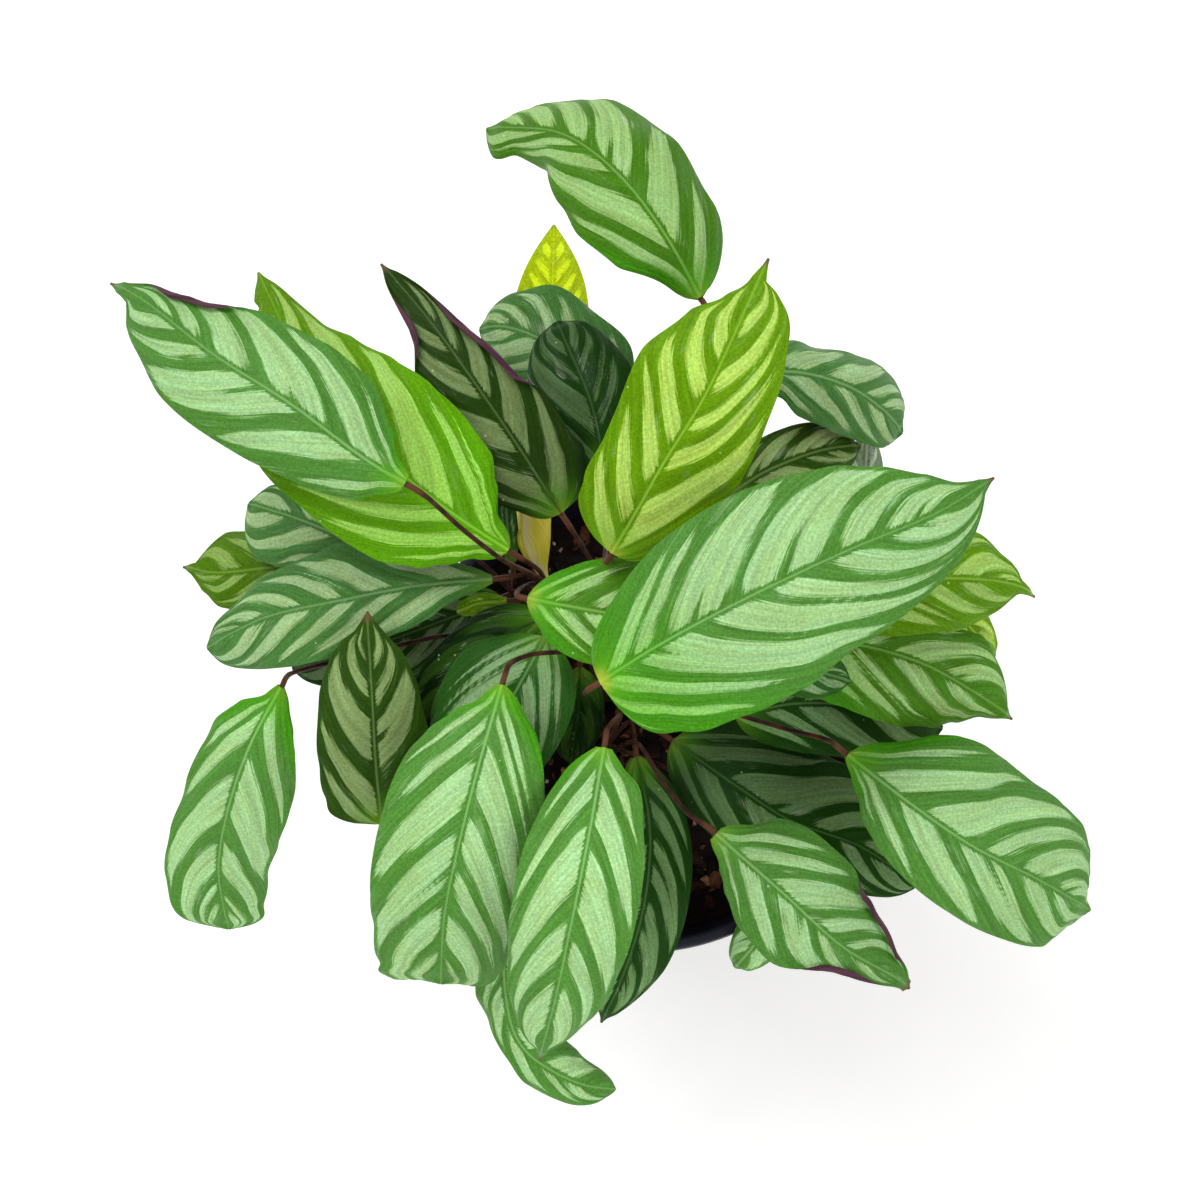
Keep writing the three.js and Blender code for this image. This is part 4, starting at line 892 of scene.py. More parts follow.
def sheet_mesh(name, top, under, shares, notes):
    """A closed thin sheet from rows of top and under points in mm, which meet at both margins. notes are
    vectors for each top point that the materials read; shares place each row and column in 0 to 1."""
    rows, columns = top.shape[:2]
    over = np.arange(rows * columns).reshape(rows, columns)
    below = over.copy()
    below[:, 1:-1] = rows * columns + np.arange(rows * (columns - 2)).reshape(rows, columns - 2)
    points = np.concatenate([top.reshape(-1, 3), under[:, 1:-1].reshape(-1, 3)]) * MM

    def quads(grid):
        corners = np.stack([grid[:-1, :-1], grid[1:, :-1], grid[1:, 1:], grid[:-1, 1:]], 2)
        return corners.reshape(-1, 4, *grid.shape[2:])

    faces = quads(over).tolist() + quads(below)[:, ::-1].tolist()
    for row, order in ((0, 1), (-1, -1)):
        for k in range(columns - 1):
            corners = dict.fromkeys([over[row, k], over[row, k + 1], below[row, k + 1], below[row, k]])
            faces.append([int(c) for c in corners][::order])
    mesh = bpy.data.meshes.new(name)
    mesh.from_pydata(points.tolist(), [], faces)
    half = (rows - 1) * (columns - 1)
    sides = np.zeros(len(faces), int)
    sides[half : 2 * half] = 1
    mesh.polygons.foreach_set("material_index", sides)
    for note, values in notes.items():
        keep_note(mesh, note, np.concatenate([values.reshape(-1, 3), values[:, 1:-1].reshape(-1, 3)]))
    # The map lays the top over the underside, so that a baked picture keeps both whole.
    long_way = shares[0] * (1 - 2 * MAP_EDGE) + MAP_EDGE
    wide_way = shares[1] * (0.5 - 2 * MAP_EDGE) + MAP_EDGE
    spread = np.stack(np.meshgrid(long_way, wide_way, indexing="ij"), -1)
    corners = np.concatenate([quads(spread + [0, 0.5]), quads(spread)[:, ::-1]]).reshape(-1, 2)
    layer = mesh.uv_layers.new(name="OFBake")
    flat = np.full((len(mesh.loops), 2), MAP_EDGE / 2)
    flat[: len(corners)] = corners
    layer.uv.foreach_set("vector", flat.astype(np.float32).ravel())
    return smoothed(mesh, BLADE_EDGES)


def pale_zones(leaf, hand, length, luck):
    """Where the light ground meets the midrib on one side, as shares of the length: noted, or by chance."""
    noted = leaf.get(("left_pale", "right_pale")[hand])
    if noted:
        return noted
    zones = []
    start = luck.uniform(-0.3, -0.2)
    while start < 0.86:
        crowding = 0.55 + 0.45 * math.sin(math.pi * min(1, max(0, start + 0.05)))
        stop = start + luck.uniform(*GAP_WIDTHS) * crowding / length
        zones.append((start, min(stop, 0.9)))
        start = stop + luck.uniform(*BAR_WIDTHS) * crowding / length
    return zones


def short_bars(leaf, hand, zones, luck):
    """Bars that stop half way: where each leaves the midrib and how far out it reaches."""
    noted = leaf.get(("left_short", "right_short")[hand], [])
    if noted or "left_pale" in leaf:
        return noted
    wide = [zone for zone in zones if zone[1] - zone[0] > 0.11]
    return [((start + stop) / 2, luck.uniform(0.2, 0.8)) for start, stop in wide if luck.random() < 0.6]


def barring(leaf, forward, is_left, length, luck):
    """For points whose veins leave the midrib at forward: how far inside a light zone they are, how far
    from the nearest short bar, and that bar's reach."""
    inside = np.full_like(forward, -FAR)
    aside = np.full_like(forward, FAR)
    stub = np.full_like(forward, 0.1)
    for hand, here in enumerate((is_left, ~is_left)):
        zones = pale_zones(leaf, hand, length, luck)
        for start, stop in zones:
            within = np.minimum(forward - start * length, stop * length - forward)
            inside = np.where(here, np.maximum(inside, within), inside)
        for share, far_out in short_bars(leaf, hand, zones, luck):
            away = np.abs(forward - share * length)
            stub = np.where(here & (away < aside), far_out, stub)
            aside = np.where(here, np.minimum(aside, away), aside)
    return np.stack([inside, aside, stub], -1)


def blade_mesh(name, leaf, seed):
    """A leaf's blade, arched along its midrib, with the notes that draw its bars."""
    luck = np.random.default_rng(seed)
    curve = curve_through([from_picture(point) for point in leaf["midrib"]])
    length = curve[1][-1]
    rows = max(24, round(length / ROW_STEP))
    even = np.linspace(0, 1, rows)
    along = (0.6 * even + 0.4 * (0.5 - 0.5 * np.cos(np.pi * even)))[:, None]
    half_columns = np.array(COLUMNS + MARGIN_COLUMNS)
    across = np.concatenate([-half_columns[:0:-1], half_columns])[None, :]
    out = np.abs(across)
    is_left = (across >= 0) & (along >= 0)
    share = lobe_share(along, leaf)
    half = np.where(is_left, *leaf["half"])
    drop = np.where(is_left, *leaf["drop"])
    width = np.where(is_left, half_width(along, leaf, 0), half_width(along, leaf, 1))
    reach = width * out
    run = along * length

    # Veins leave the midrib slantwise and curve forward; forward is where a point's own vein leaves it.
    sweep = np.where(is_left, *leaf.get("sweep", SWEEP))
    forward = run - half * (leaf.get("slant", SLANT) * out + sweep * out**2.5)

    full = np.minimum(1, share * 1.3)
    lift = -drop * share * out**2
    lift = lift - CREASE[0] * full * np.exp(-((reach / CREASE[1]) ** 1.3))
    lift = lift + MIDRIB_LINE[0] * np.exp(-((reach / MIDRIB_LINE[1]) ** 2))
    for apart, height in PLEATS:
        pleat = height * np.cos(2 * np.pi * forward / apart + 2 * is_left)
        lift = lift + pleat * full * np.minimum(1, 4 * out) * (1 - 0.6 * out**6)
    for hand in (is_left, ~is_left):
        ripple = np.sin(2 * np.pi * (run / luck.uniform(*RIPPLES) + luck.random()))
        swell = np.sin(2 * np.pi * (run / luck.uniform(*SWELLS) + luck.random()))
        calm = 0.3 if "rolled" in leaf else 1
        waves = RIPPLE_HEIGHT * ripple * out**4 + SWELL_HEIGHT * swell * out**2
        lift = lift + hand * calm * waves * full
    lift = lift - TIP_DROOP * step_up(along, 0.92, 1)
    sideways = width * across

    for side, start, stop in leaf.get("rolled", []):
        hand = is_left if side == "left" else ~is_left
        strip = ROLL_RADIUS * ROLL_TURN * step_up(along, start, start + 0.15)
        strip = np.minimum(strip * (1 - step_up(along, stop, 1)), 0.5 * width)
        past = np.where(hand, np.maximum(reach - (width - strip), 0), 0)
        angle = past / ROLL_RADIUS
        sideways = sideways + np.where(is_left, 1, -1) * (ROLL_RADIUS * np.sin(angle) - past)
        lift = lift + ROLL_RADIUS * (1 - np.cos(angle)) * (1 + 0.1 * angle)

    place, heading = along_curve(curve, run[:, 0])
    face, side = blade_directions(heading)
    middle = place[:, None] + side[:, None] * sideways[..., None] + face[:, None] * lift[..., None]
    # A notched end has its two halves reaching a little past the midrib's tip.
    past_tip = np.where(is_left, *leaf.get("notched", (0, 0))) * out**2
    past_tip = past_tip * step_up(along, 0.8, 0.95) * (1 - step_up(along, 0.985, 1))
    middle = middle + heading[:, None] * past_tip[..., None]
    across_way = np.gradient(middle, axis=1)
    along_way = np.gradient(middle, axis=0)
    normal = np.cross(along_way, across_way)
    normal /= np.linalg.norm(normal, axis=-1, keepdims=True)
    body = BLADE_THICKNESS / 2 * np.sqrt(1 - out**8) + 0 * along
    rib_proud, rib_taper, rib_width = UNDER_RIB
    rib = (rib_proud - rib_taper * along) * np.exp(-((reach / rib_width) ** 2)) * (out < 1)
    top = middle + normal * body[..., None]
    under = middle - normal * (body + rib)[..., None]

    pale, deep = (np.array(linear(colour)[:3]) for colour in TONES[leaf["tone"]])
    # A base tone blends in towards the foot: where it is fresh or spring, a greener colour of the leaf's
    # own; where it is dusk or deep, painted shade over the foot, which lies under other leaves.
    base_tone, base_end = leaf.get("base_tone", (leaf["tone"], 0.1))
    base_pale, base_deep = (np.array(linear(colour)[:3]) for colour in TONES[base_tone])
    base_share = 1 - step_up(forward / length + 0.3 * out, 0, base_end)[..., None]
    # A leaf's light factor scales both its tones: partly its own paler or darker green, partly painted light
    # and shade for how brightly the leaf is lit.
    own_light = leaf.get("light", 1)
    dry = 4 if "rolled" in leaf else 3 if "lobe" in leaf else 0
    tan_tip = step_up(run, length - dry - 1, length - 0.4) * min(1, dry) + 0 * out
    heel = leaf.get("heel", 0.12) * (1 - step_up(run, 0.5, 5)) * (1 - step_up(reach, 1, 5))
    fresh = (1 - step_up(run, 0, 14)) * (1 - step_up(reach, 2, 12)) + 0 * out
    notes = {
        "place": np.stack([run + 0 * out, reach, width - reach], -1),
        "vein": np.stack([forward, out + 0 * along, seed + 0.5 * is_left], -1),
        "bars": barring(leaf, forward, is_left, length, luck),
        "ground": (pale + (base_pale - pale) * base_share) * own_light,
        "barred": (deep + (base_deep - deep) * base_share) * own_light,
        "age": np.stack([tan_tip, fresh, heel], -1),
    }
    return sheet_mesh(name, top, under, (along[:, 0], (across[0] + 1) / 2), notes)


# The upper face is waxy and catches the light along its fine side veins. The light ground lies in zones
# with rounded ends between the bars; feathered edges, a dark line each side of the midrib and a dark
# margin frame them, and the midrib itself is a thin pale line.
blade_top = new_material("leaf_upper_face_barred")
measured = node(blade_top, "Attribute", attribute_name="place").outputs["Vector"]
run, reach, inset = node(blade_top, "SeparateXYZ", {0: measured}).outputs
veins = node(blade_top, "Attribute", attribute_name="vein").outputs["Vector"]
_, out, _ = node(blade_top, "SeparateXYZ", {0: veins}).outputs
bars = node(blade_top, "Attribute", attribute_name="bars").outputs["Vector"]
inside, aside, stub = node(blade_top, "SeparateXYZ", {0: bars}).outputs

fine = node(blade_top, "VectorMath", {0: veins, 1: (1.5, 2.4, 7.3)}, operation="MULTIPLY")
streaks = node(blade_top, "TexNoise", {"Vector": fine, "Scale": 1.0, "Detail": 4.0, "Roughness": 0.62})
broad = node(blade_top, "VectorMath", {0: veins, 1: (0.16, 2.6, 3.1)}, operation="MULTIPLY")
clouds = node(blade_top, "TexNoise", {"Vector": broad, "Scale": 1.0, "Detail": 3.0})
folded = node(blade_top, "VectorMath", {0: veins, 1: (0.5, 0.9, 5.1)}, operation="MULTIPLY")
folds = node(blade_top, "TexNoise", {"Vector": folded, "Scale": 1.0, "Detail": 2.0})
feather = node(blade_top, "MapRange", {"Value": streaks, 1: 0.34, 2: 0.66, 3: -0.9, 4: 0.9})
sway = node(blade_top, "MapRange", {"Value": clouds, 1: 0.3, 2: 0.7, 3: -0.9, 4: 0.9})
wander = node(blade_top, "MapRange", {"Value": folds, 1: 0.34, 2: 0.66, 3: -0.6, 4: 0.6})

# The light zones draw in near the midrib and the margin: by these tens of mm at these shares of the
# way from the one to the other.
draw_in = node(blade_top, "FloatCurve", {"Value": out})
draw_in_shape = draw_in.mapping.curves[0]
shape_points = ((0.0, 0.3), (1.0, 1.0), (0.06, 0.16), (0.14, 0.03), (0.3, 0), (0.62, 0.04), (0.82, 0.26))
for share, tens in shape_points:
    if share in (0.0, 1.0):
        draw_in_shape.points[int(share)].location = (share, tens)
    else:
        draw_in_shape.points.new(share, tens)
draw_in.mapping.update()
zone = node(blade_top, "Math", {0: draw_in, 1: -10.0, 2: inside}, operation="MULTIPLY_ADD")
for part in (feather, sway, wander):
    zone = node(blade_top, "Math", {0: zone, 1: part}, operation="ADD")
pale_share = node(blade_top, "MapRange", {"Value": zone, 1: -0.8, 2: 1.0}, interpolation_type="SMOOTHSTEP")

used = node(blade_top, "Math", {0: out, 1: stub}, operation="DIVIDE")
stub_half = node(blade_top, "MapRange", {"Value": used, 1: 0.0, 2: 1.7, 3: 2.2, 4: -2.0})
beside = node(blade_top, "Math", {0: aside, 1: feather}, operation="ADD")
stub_in = node(blade_top, "Math", {0: stub_half, 1: beside}, operation="SUBTRACT")

ragged = node(blade_top, "MapRange", {"Value": streaks, 1: 0.3, 2: 0.7, 3: 1.7, 4: 0.75})
edge_share = node(blade_top, "Math", {0: inset, 1: ragged}, operation="DIVIDE")
rib_share = node(blade_top, "Math", {0: reach, 1: ragged}, operation="DIVIDE")
dark = node(blade_top, "Math", {0: 1.0, 1: pale_share}, operation="SUBTRACT")
for value, light_at, dark_at in ((stub_in, -0.6, 0.8), (edge_share, 1.5, 0.9), (rib_share, 1.15, 0.8)):
    between = {"Value": value, 1: light_at, 2: dark_at}
    part = node(blade_top, "MapRange", between, interpolation_type="SMOOTHSTEP")
    dark = node(blade_top, "Math", {0: dark, 1: part}, operation="MAXIMUM")

ground = node(blade_top, "Attribute", attribute_name="ground").outputs["Color"]
barred = node(blade_top, "Attribute", attribute_name="barred").outputs["Color"]
two_tone = node(blade_top, "Mix", {0: dark, 6: ground, 7: barred}, data_type="RGBA").outputs[2]
flat_place = node(blade_top, "TexCoord").outputs["Object"]
cells = node(blade_top, "TexNoise", {"Vector": flat_place, "Scale": 1 / (0.7 * MM), "Detail": 2.0})
light = 1.0
for pattern, low, high, darkest, lightest in (
    (streaks, 0.34, 0.66, 0.86, 1.12),
    (clouds, 0.25, 0.75, 0.9, 1.1),
    (folds, 0.34, 0.66, 0.88, 1.12),
    (cells, 0.33, 0.67, 0.82, 1.16),
):
    part = node(blade_top, "MapRange", {"Value": pattern, 1: low, 2: high, 3: darkest, 4: lightest})
    light = node(blade_top, "Math", {0: light, 1: part}, operation="MULTIPLY")
tint_share = node(blade_top, "MapRange", {"Value": clouds, 1: 0.35, 2: 0.65})
warm, cool = (1.02, 1.02, 0.9, 1), (0.95, 1.0, 1.03, 1)
tint = node(blade_top, "Mix", {0: tint_share, 6: warm, 7: cool}, data_type="RGBA").outputs[2]
toned = node(blade_top, "VectorMath", {0: two_tone, "Scale": light}, operation="SCALE")
toned = node(blade_top, "VectorMath", {0: toned, 1: tint}, operation="MULTIPLY")

ageing = node(blade_top, "Attribute", attribute_name="age").outputs["Vector"]
tan_tip, fresh, heel = node(blade_top, "SeparateXYZ", {0: ageing}).outputs
fresh_share = node(blade_top, "Math", {0: fresh, 1: 0.4}, operation="MULTIPLY")
line_half = node(blade_top, "MapRange", {"Value": run, 1: 0.0, 2: 110.0, 3: 0.5, 4: 0.25})
line_place = node(blade_top, "Math", {0: reach, 1: line_half}, operation="DIVIDE")
line_ends = {"Value": line_place, 1: 1.0, 2: 0.45}
line_share = node(blade_top, "MapRange", line_ends, interpolation_type="SMOOTHSTEP")
line_fade = node(blade_top, "MapRange", {"Value": run, 1: 10.0, 2: 110.0, 3: 0.85, 4: 0.35})
line_share = node(blade_top, "Math", {0: line_share, 1: line_fade}, operation="MULTIPLY")
lit_green = node(blade_top, "VectorMath", {0: barred, "Scale": 1.6}, operation="SCALE")
line_green = node(blade_top, "Mix", {0: 0.55, 6: ground, 7: lit_green}, data_type="RGBA").outputs[2]

# Old rub marks follow the side veins, and drops of hard water have dried to pale dots.
rub_way = node(blade_top, "VectorMath", {0: veins, 1: (0.9, 0.5, 11.3)}, operation="MULTIPLY")
rubs = node(blade_top, "TexNoise", {"Vector": rub_way, "Scale": 1.0, "Detail": 1.0})
off_line = node(blade_top, "Math", {0: rubs, 1: 0.5}, operation="SUBTRACT")
off_line = node(blade_top, "Math", {0: off_line}, operation="ABSOLUTE")
rub_line = node(blade_top, "MapRange", {"Value": off_line, 1: 0.045, 2: 0.01})
patch_way = node(blade_top, "VectorMath", {0: veins, 1: (0.09, 3.7, 2.9)}, operation="MULTIPLY")
patches = node(blade_top, "TexNoise", {"Vector": patch_way, "Scale": 1.0, "Detail": 2.0})
rub_patch = node(blade_top, "MapRange", {"Value": patches, 1: 0.61, 2: 0.69, 4: 0.32})
rub_share = node(blade_top, "Math", {0: rub_line, 1: rub_patch}, operation="MULTIPLY")
drops = node(blade_top, "TexVoronoi", {"Vector": flat_place, "Scale": 1 / (5 * MM)})
drop_dot = node(blade_top, "MapRange", {"Value": drops.outputs["Distance"], 1: 0.07, 2: 0.04, 4: 0.7})
drop_chance = node(blade_top, "SeparateXYZ", {0: drops.outputs["Color"]})
few = node(blade_top, "Math", {0: drop_chance, 1: 0.88}, operation="GREATER_THAN")
drop_share = node(blade_top, "Math", {0: drop_dot, 1: few}, operation="MULTIPLY")
mark_share = node(blade_top, "Math", {0: rub_share, 1: drop_share}, operation="MAXIMUM")

# Over the bars and ground lie, in turn, the base's fresh green, the midrib's line, the yellow heel, the
# marks and the dry brown tip.
coat = toned
for share, colour in (
    (fresh_share, linear("#6CB81C")),
    (line_share, line_green),
    (heel, linear("#C8CC4A")),
    (mark_share, linear("#D2E6BE")),
    (tan_tip, linear("#6E563C")),
):
    coat = node(blade_top, "Mix", {0: share, 6: coat, 7: colour}, data_type="RGBA").outputs[2]
wax = node(blade_top, "MapRange", {"Value": clouds, 1: 0.3, 2: 0.7, 3: 0.38, 4: 0.52})
relief = node(blade_top, "Math", {0: streaks, 1: folds}, operation="ADD")
veined = node(blade_top, "Bump", {"Strength": 0.5, "Distance": 0.2 * MM, "Height": relief})
skin = {"Base Color": coat, "Roughness": wax, "Normal": veined, "Specular IOR Level": 0.1}
blade_skin = node(blade_top, "BsdfPrincipled", skin)
node(blade_top, "OutputMaterial", {"Surface": blade_skin})

# The lower face is matt wine-purple, from a pigment under its skin; the bars show through as shadows.
blade_under = new_material("leaf_lower_face_wine")
veins = node(blade_under, "Attribute", attribute_name="vein").outputs["Vector"]
bars = node(blade_under, "Attribute", attribute_name="bars").outputs["Vector"]
inside, _, _ = node(blade_under, "SeparateXYZ", {0: bars}).outputs
fine = node(blade_under, "VectorMath", {0: veins, 1: (1.5, 2.2, 7.3)}, operation="MULTIPLY")
streaks = node(blade_under, "TexNoise", {"Vector": fine, "Scale": 1.0, "Detail": 3.0})
shadow = node(blade_under, "MapRange", {"Value": inside, 1: 0.6, 2: -0.8, 3: 0.0, 4: 0.6})
wine, shaded = linear("#553040"), linear("#371C2C")
toned = node(blade_under, "Mix", {0: shadow, 6: wine, 7: shaded}, data_type="RGBA").outputs[2]
grained = node(blade_under, "MapRange", {"Value": streaks, 1: 0.25, 2: 0.75, 3: 0.75, 4: 1.25})
toned = node(blade_under, "VectorMath", {0: toned, "Scale": grained}, operation="SCALE")
measured = node(blade_under, "Attribute", attribute_name="place").outputs["Vector"]
_, reach, _ = node(blade_under, "SeparateXYZ", {0: measured}).outputs
line_share = node(blade_under, "MapRange", {"Value": reach, 1: 1.1, 2: 0.6, 4: 0.8})
straw = linear("#8A7A4E")
ribbed = node(blade_under, "Mix", {0: line_share, 6: toned, 7: straw}, data_type="RGBA").outputs[2]
veined = node(blade_under, "Bump", {"Strength": 0.4, "Distance": 0.15 * MM, "Height": streaks})
matt = {"Base Color": ribbed, "Roughness": 0.55, "Normal": veined, "Specular IOR Level": 0.2}
under_skin = node(blade_under, "BsdfPrincipled", matt)
node(blade_under, "OutputMaterial", {"Surface": under_skin})

YOUNG = 2  # the leaf that is still unrolling
for number, leaf in enumerate(LEAVES, 1):
    if number != YOUNG:
        blade = blade_mesh(f"blade_{number:02}", leaf, number)
        piece(f"blade_{number:02}", blade, [blade_top, blade_under], [f"leaf_{number:02}"])

# ---- Young leaf --------------------------------------------------------------------------------
# The newest leaf comes up rolled like a scroll and opens from the tip down. It is still soft, thin and
# yellow-green on both faces, with its bars only faintly drawn.
UNROLLED_HALF = 12
SCROLL = 7.2  # radians that it's rolled through at its base
OPENED = 1.3  # and at its widest
YOUNG_BARS = 9  # from one faint bar to the next
YOUNG_WIDEST = 0.7
YOUNG_COLUMNS = 61
YOUNG_FOOT_HALF = 3  # half its width, unrolled, where its stalk ends
young = LEAVES[YOUNG - 1]


def young_mesh(name):
    """The young blade, wound about its own length at the foot and opening towards its tip."""
    curve = curve_through([from_picture(point) for point in young["midrib"]])
    length = curve[1][-1]
    along = np.linspace(0, 1, round(length))[:, None]
    across = np.linspace(-1, 1, YOUNG_COLUMNS)[None, :]
    beyond = np.clip((along - YOUNG_WIDEST) / (1 - YOUNG_WIDEST), 0, 1)
    half = YOUNG_FOOT_HALF + (UNROLLED_HALF - YOUNG_FOOT_HALF) * step_up(along, 0, 0.14)
    half = half * (1.5 - 0.5 * step_up(along, 0.18, 0.32))
    half = half * (1 - beyond**1.6) + TIP_HALF
    roll = SCROLL + (OPENED - SCROLL) * step_up(along, 0.25, 0.7)
    radius = 2 * half / roll
    wound = radius * (1 - 0.16 * across * step_up(roll, 3, 6))
    angle = across * roll / 2
    sideways = wound * np.sin(angle)
    lift = radius - wound * np.cos(angle)
    place, heading = along_curve(curve, along[:, 0] * length)
    face, side = blade_directions(heading)
    middle = place[:, None] + side[:, None] * sideways[..., None] + face[:, None] * lift[..., None]
    normal = np.cross(np.gradient(middle, axis=0), np.gradient(middle, axis=1))
    normal /= np.linalg.norm(normal, axis=-1, keepdims=True)
    body = BLADE_THICKNESS / 2 * np.sqrt(1 - across**8) + 0 * along
    reach = np.abs(across) * half
    forward = along * length - half * 1.4 * np.abs(across)
    faint = 2.4 - np.abs((forward / YOUNG_BARS) % 1 - 0.5) * YOUNG_BARS
    notes = {
        "place": np.stack([along * length + 0 * across, reach, half - reach], -1),
        "vein": np.stack([forward, np.abs(across) + 0 * along, 0 * forward + YOUNG], -1),
        "bars": np.stack([faint, 0 * forward + FAR, 0 * forward + 0.1], -1),
        "ground": np.array(linear(TONES["young"][0])[:3]) + 0 * middle,
        "barred": np.array(linear(TONES["young"][1])[:3]) + 0 * middle,
        "age": np.stack([0.5 * step_up(along, 0.98, 1) + 0 * across, 0 * reach, 0 * reach], -1),
    }
    shares = (along[:, 0], (across[0] + 1) / 2)
    shell = normal * body[..., None]
    return sheet_mesh(name, middle + shell, middle - shell, shares, notes)


# Its lower face is the same soft yellow-green, and its fine side veins show. A pale cream stripe along the
# rolled edge is a painted highlight, where gloss would catch the light.
young_under = new_material("young_leaf_lower_face")
veins = node(young_under, "Attribute", attribute_name="vein").outputs["Vector"]
fine = node(young_under, "VectorMath", {0: veins, 1: (1.4, 2, 7)}, operation="MULTIPLY")
streaks = node(young_under, "TexNoise", {"Vector": fine, "Scale": 1.0, "Detail": 3.0})
dulled = node(young_under, "MapRange", {"Value": streaks, 1: 0.3, 2: 0.7})
measured = node(young_under, "Attribute", attribute_name="place").outputs["Vector"]
_, _, inset = node(young_under, "SeparateXYZ", {0: measured}).outputs
# Painted highlight: the underside pales to cream within about 3 mm of the rolled edge.
edge_share = node(young_under, "MapRange", {"Value": inset, 1: 3.2, 2: 0.8, 4: 0.6})
coat = linear("#E2D616")
for share, colour in ((dulled, "#FCF24A"), (edge_share, "#FFFCBE")):
    coat = node(young_under, "Mix", {0: share, 6: coat, 7: linear(colour)}, data_type="RGBA").outputs[2]
veined = node(young_under, "Bump", {"Strength": 0.3, "Distance": 0.12 * MM, "Height": streaks})
tender = {"Base Color": coat, "Roughness": 0.4, "Normal": veined}
young_skin = node(young_under, "BsdfPrincipled", tender)
node(young_under, "OutputMaterial", {"Surface": young_skin})
piece("blade_02", young_mesh("blade_02"), [blade_top, young_under], ["leaf_02"])

# ---- Stalks ------------------------------------------------------------------------------------
# Each leaf hangs on a wiry purple-brown stalk. Its last few millimetres are a paler, thicker joint that
# turns the blade; its foot widens into a sheath that wraps the younger stalks of the same shoot.
STALK_RADIUS = 0.7
JOINT_RADIUS = 0.85
JOINT_LENGTH = 7
SHEATH_RADIUS = 1.9
SHEATH_LENGTH = 40
STALK_SIDES = 14
STALK_STEP = 1.2  # between rings of points along a stalk
STALK_EDGES = 60
FOOT_RING = 1.6
FOOT_RISE = 2.3  # above the mix
STRAIGHT = 28  # how far up stalks run before they lean out
LAST_STRETCH = 12  # where no way up is noted, a stalk ends with this much straight on to its blade
TUCKED = (3, 1.9)  # how far a stalk's end goes on along the blade's underside, and how far below
SLEEVES = 4  # round each shoot
SLEEVE_ARC = 2.7  # radians each way from its middle
SLEEVE_COLUMNS = 40
SLEEVE_ROWS = 16
SLEEVE_THICKNESS = 0.32
SLEEVE_EDGES = 50
SLEEVE_TURNS = (34, 6)  # heights above the mix: brown above the first, olive below the second
SHOOTS = {
    "back_left": (-30, 24),
    "back": (-8, 34),
    "right": (14, 16),
    "front_right": (8, 2),
    "front": (-10, -14),
    "left": (-34, 2),
    "middle": (-10, 10),
}


def stalk_curve(leaf, foot):
    """From a stalk's foot straight up, by the places noted on its way, to just under its blade."""
    blade = curve_through([from_picture(point) for point in leaf["midrib"]])
    (start,), (heading,) = along_curve(blade, [0.0])
    face, _ = blade_directions(heading[None])
    via = [from_picture(point) for point in leaf.get("via", [])] or [start - heading * LAST_STRETCH]
    tucked = start + heading * TUCKED[0] - face[0] * TUCKED[1]
    joint = start - heading * (JOINT_LENGTH / 2)
    return curve_through([foot, foot + [0, 0, STRAIGHT], *via, joint, start - face[0], tucked])


def tube_mesh(name, curve, radius_at, sides, notes_at):
    """A closed tube round a curve; radius_at and notes_at take the distance from the foot and the whole."""
    length = curve[1][-1]
    run = np.linspace(0, length, round(length / STALK_STEP) + 2)
    place, heading = along_curve(curve, run)
    across = np.cross(heading[0], [0.3, 0.9, 0.1])
    rows = []
    for centre, ahead_way, radius in zip(place, heading, radius_at(run, length)):
        across = across - ahead_way * (across @ ahead_way)
        across /= np.linalg.norm(across)
        other = np.cross(ahead_way, across)
        angles = np.arange(sides) * 2 * np.pi / sides
        ring = np.cos(angles)[:, None] * across + np.sin(angles)[:, None] * other
        rows.append(centre + ring * radius)
    points = np.array(rows).reshape(-1, 3) * MM
    corners = np.arange(len(run) * sides).reshape(len(run), sides)
    after = np.roll(corners, -1, axis=1)
    faces = np.stack([corners[:-1], after[:-1], after[1:], corners[1:]], 2).reshape(-1, 4).tolist()
    faces.append(corners[0, ::-1].tolist())
    faces.append(corners[-1].tolist())
    mesh = bpy.data.meshes.new(name)
    mesh.from_pydata(points.tolist(), [], faces)
    keep_note(mesh, "stalk", np.repeat(notes_at(run, length), sides, axis=0))
    return smoothed(mesh, STALK_EDGES)


def stalk_radius(run, length):
    """Wide in the sheath, thin on the way up, thicker in the joint and rounded off under the blade."""
    sheath = (SHEATH_RADIUS - STALK_RADIUS) * (1 - step_up(run, 0, SHEATH_LENGTH))
    swell = step_up(run, length - JOINT_LENGTH - 4, length - JOINT_LENGTH - 1)
    joint = (JOINT_RADIUS - STALK_RADIUS) * swell
    end = step_up(length - run, 0, 2.5)
    return (STALK_RADIUS + sheath + joint) * (0.45 + 0.55 * end)


def stalk_notes(run, length):
    """How far a point belongs to the joint and to the sheath."""
    joint = step_up(run, length - JOINT_LENGTH - 3, length - JOINT_LENGTH)
    sheath = 1 - step_up(run, SHEATH_LENGTH * 0.4, SHEATH_LENGTH)
    return np.stack([joint, sheath, 0 * run], -1)


# Stalk skin is thin and smooth with a fine grain: purple-brown, tan at the joint and olive in the sheath.
stalk_skin = new_material("stalk_skin")
place = node(stalk_skin, "TexCoord").outputs["Object"]
parts = node(stalk_skin, "Attribute", attribute_name="stalk")
joint, sheath, _ = node(stalk_skin, "SeparateXYZ", {0: parts.outputs["Vector"]}).outputs
mottle = node(stalk_skin, "TexNoise", {"Vector": place, "Scale": 1 / (3 * MM), "Detail": 4.0})
fine_grain = node(stalk_skin, "TexNoise", {"Vector": place, "Scale": 1 / (0.6 * MM), "Detail": 2.0})
mottle_share = node(stalk_skin, "MapRange", {"Value": mottle, 1: 0.35, 2: 0.65})
olive_share = node(stalk_skin, "Math", {0: sheath, 1: 0.6}, operation="MULTIPLY")
joint_share = node(stalk_skin, "Math", {0: joint, 1: 0.5}, operation="MULTIPLY")
coat = linear("#24130D")
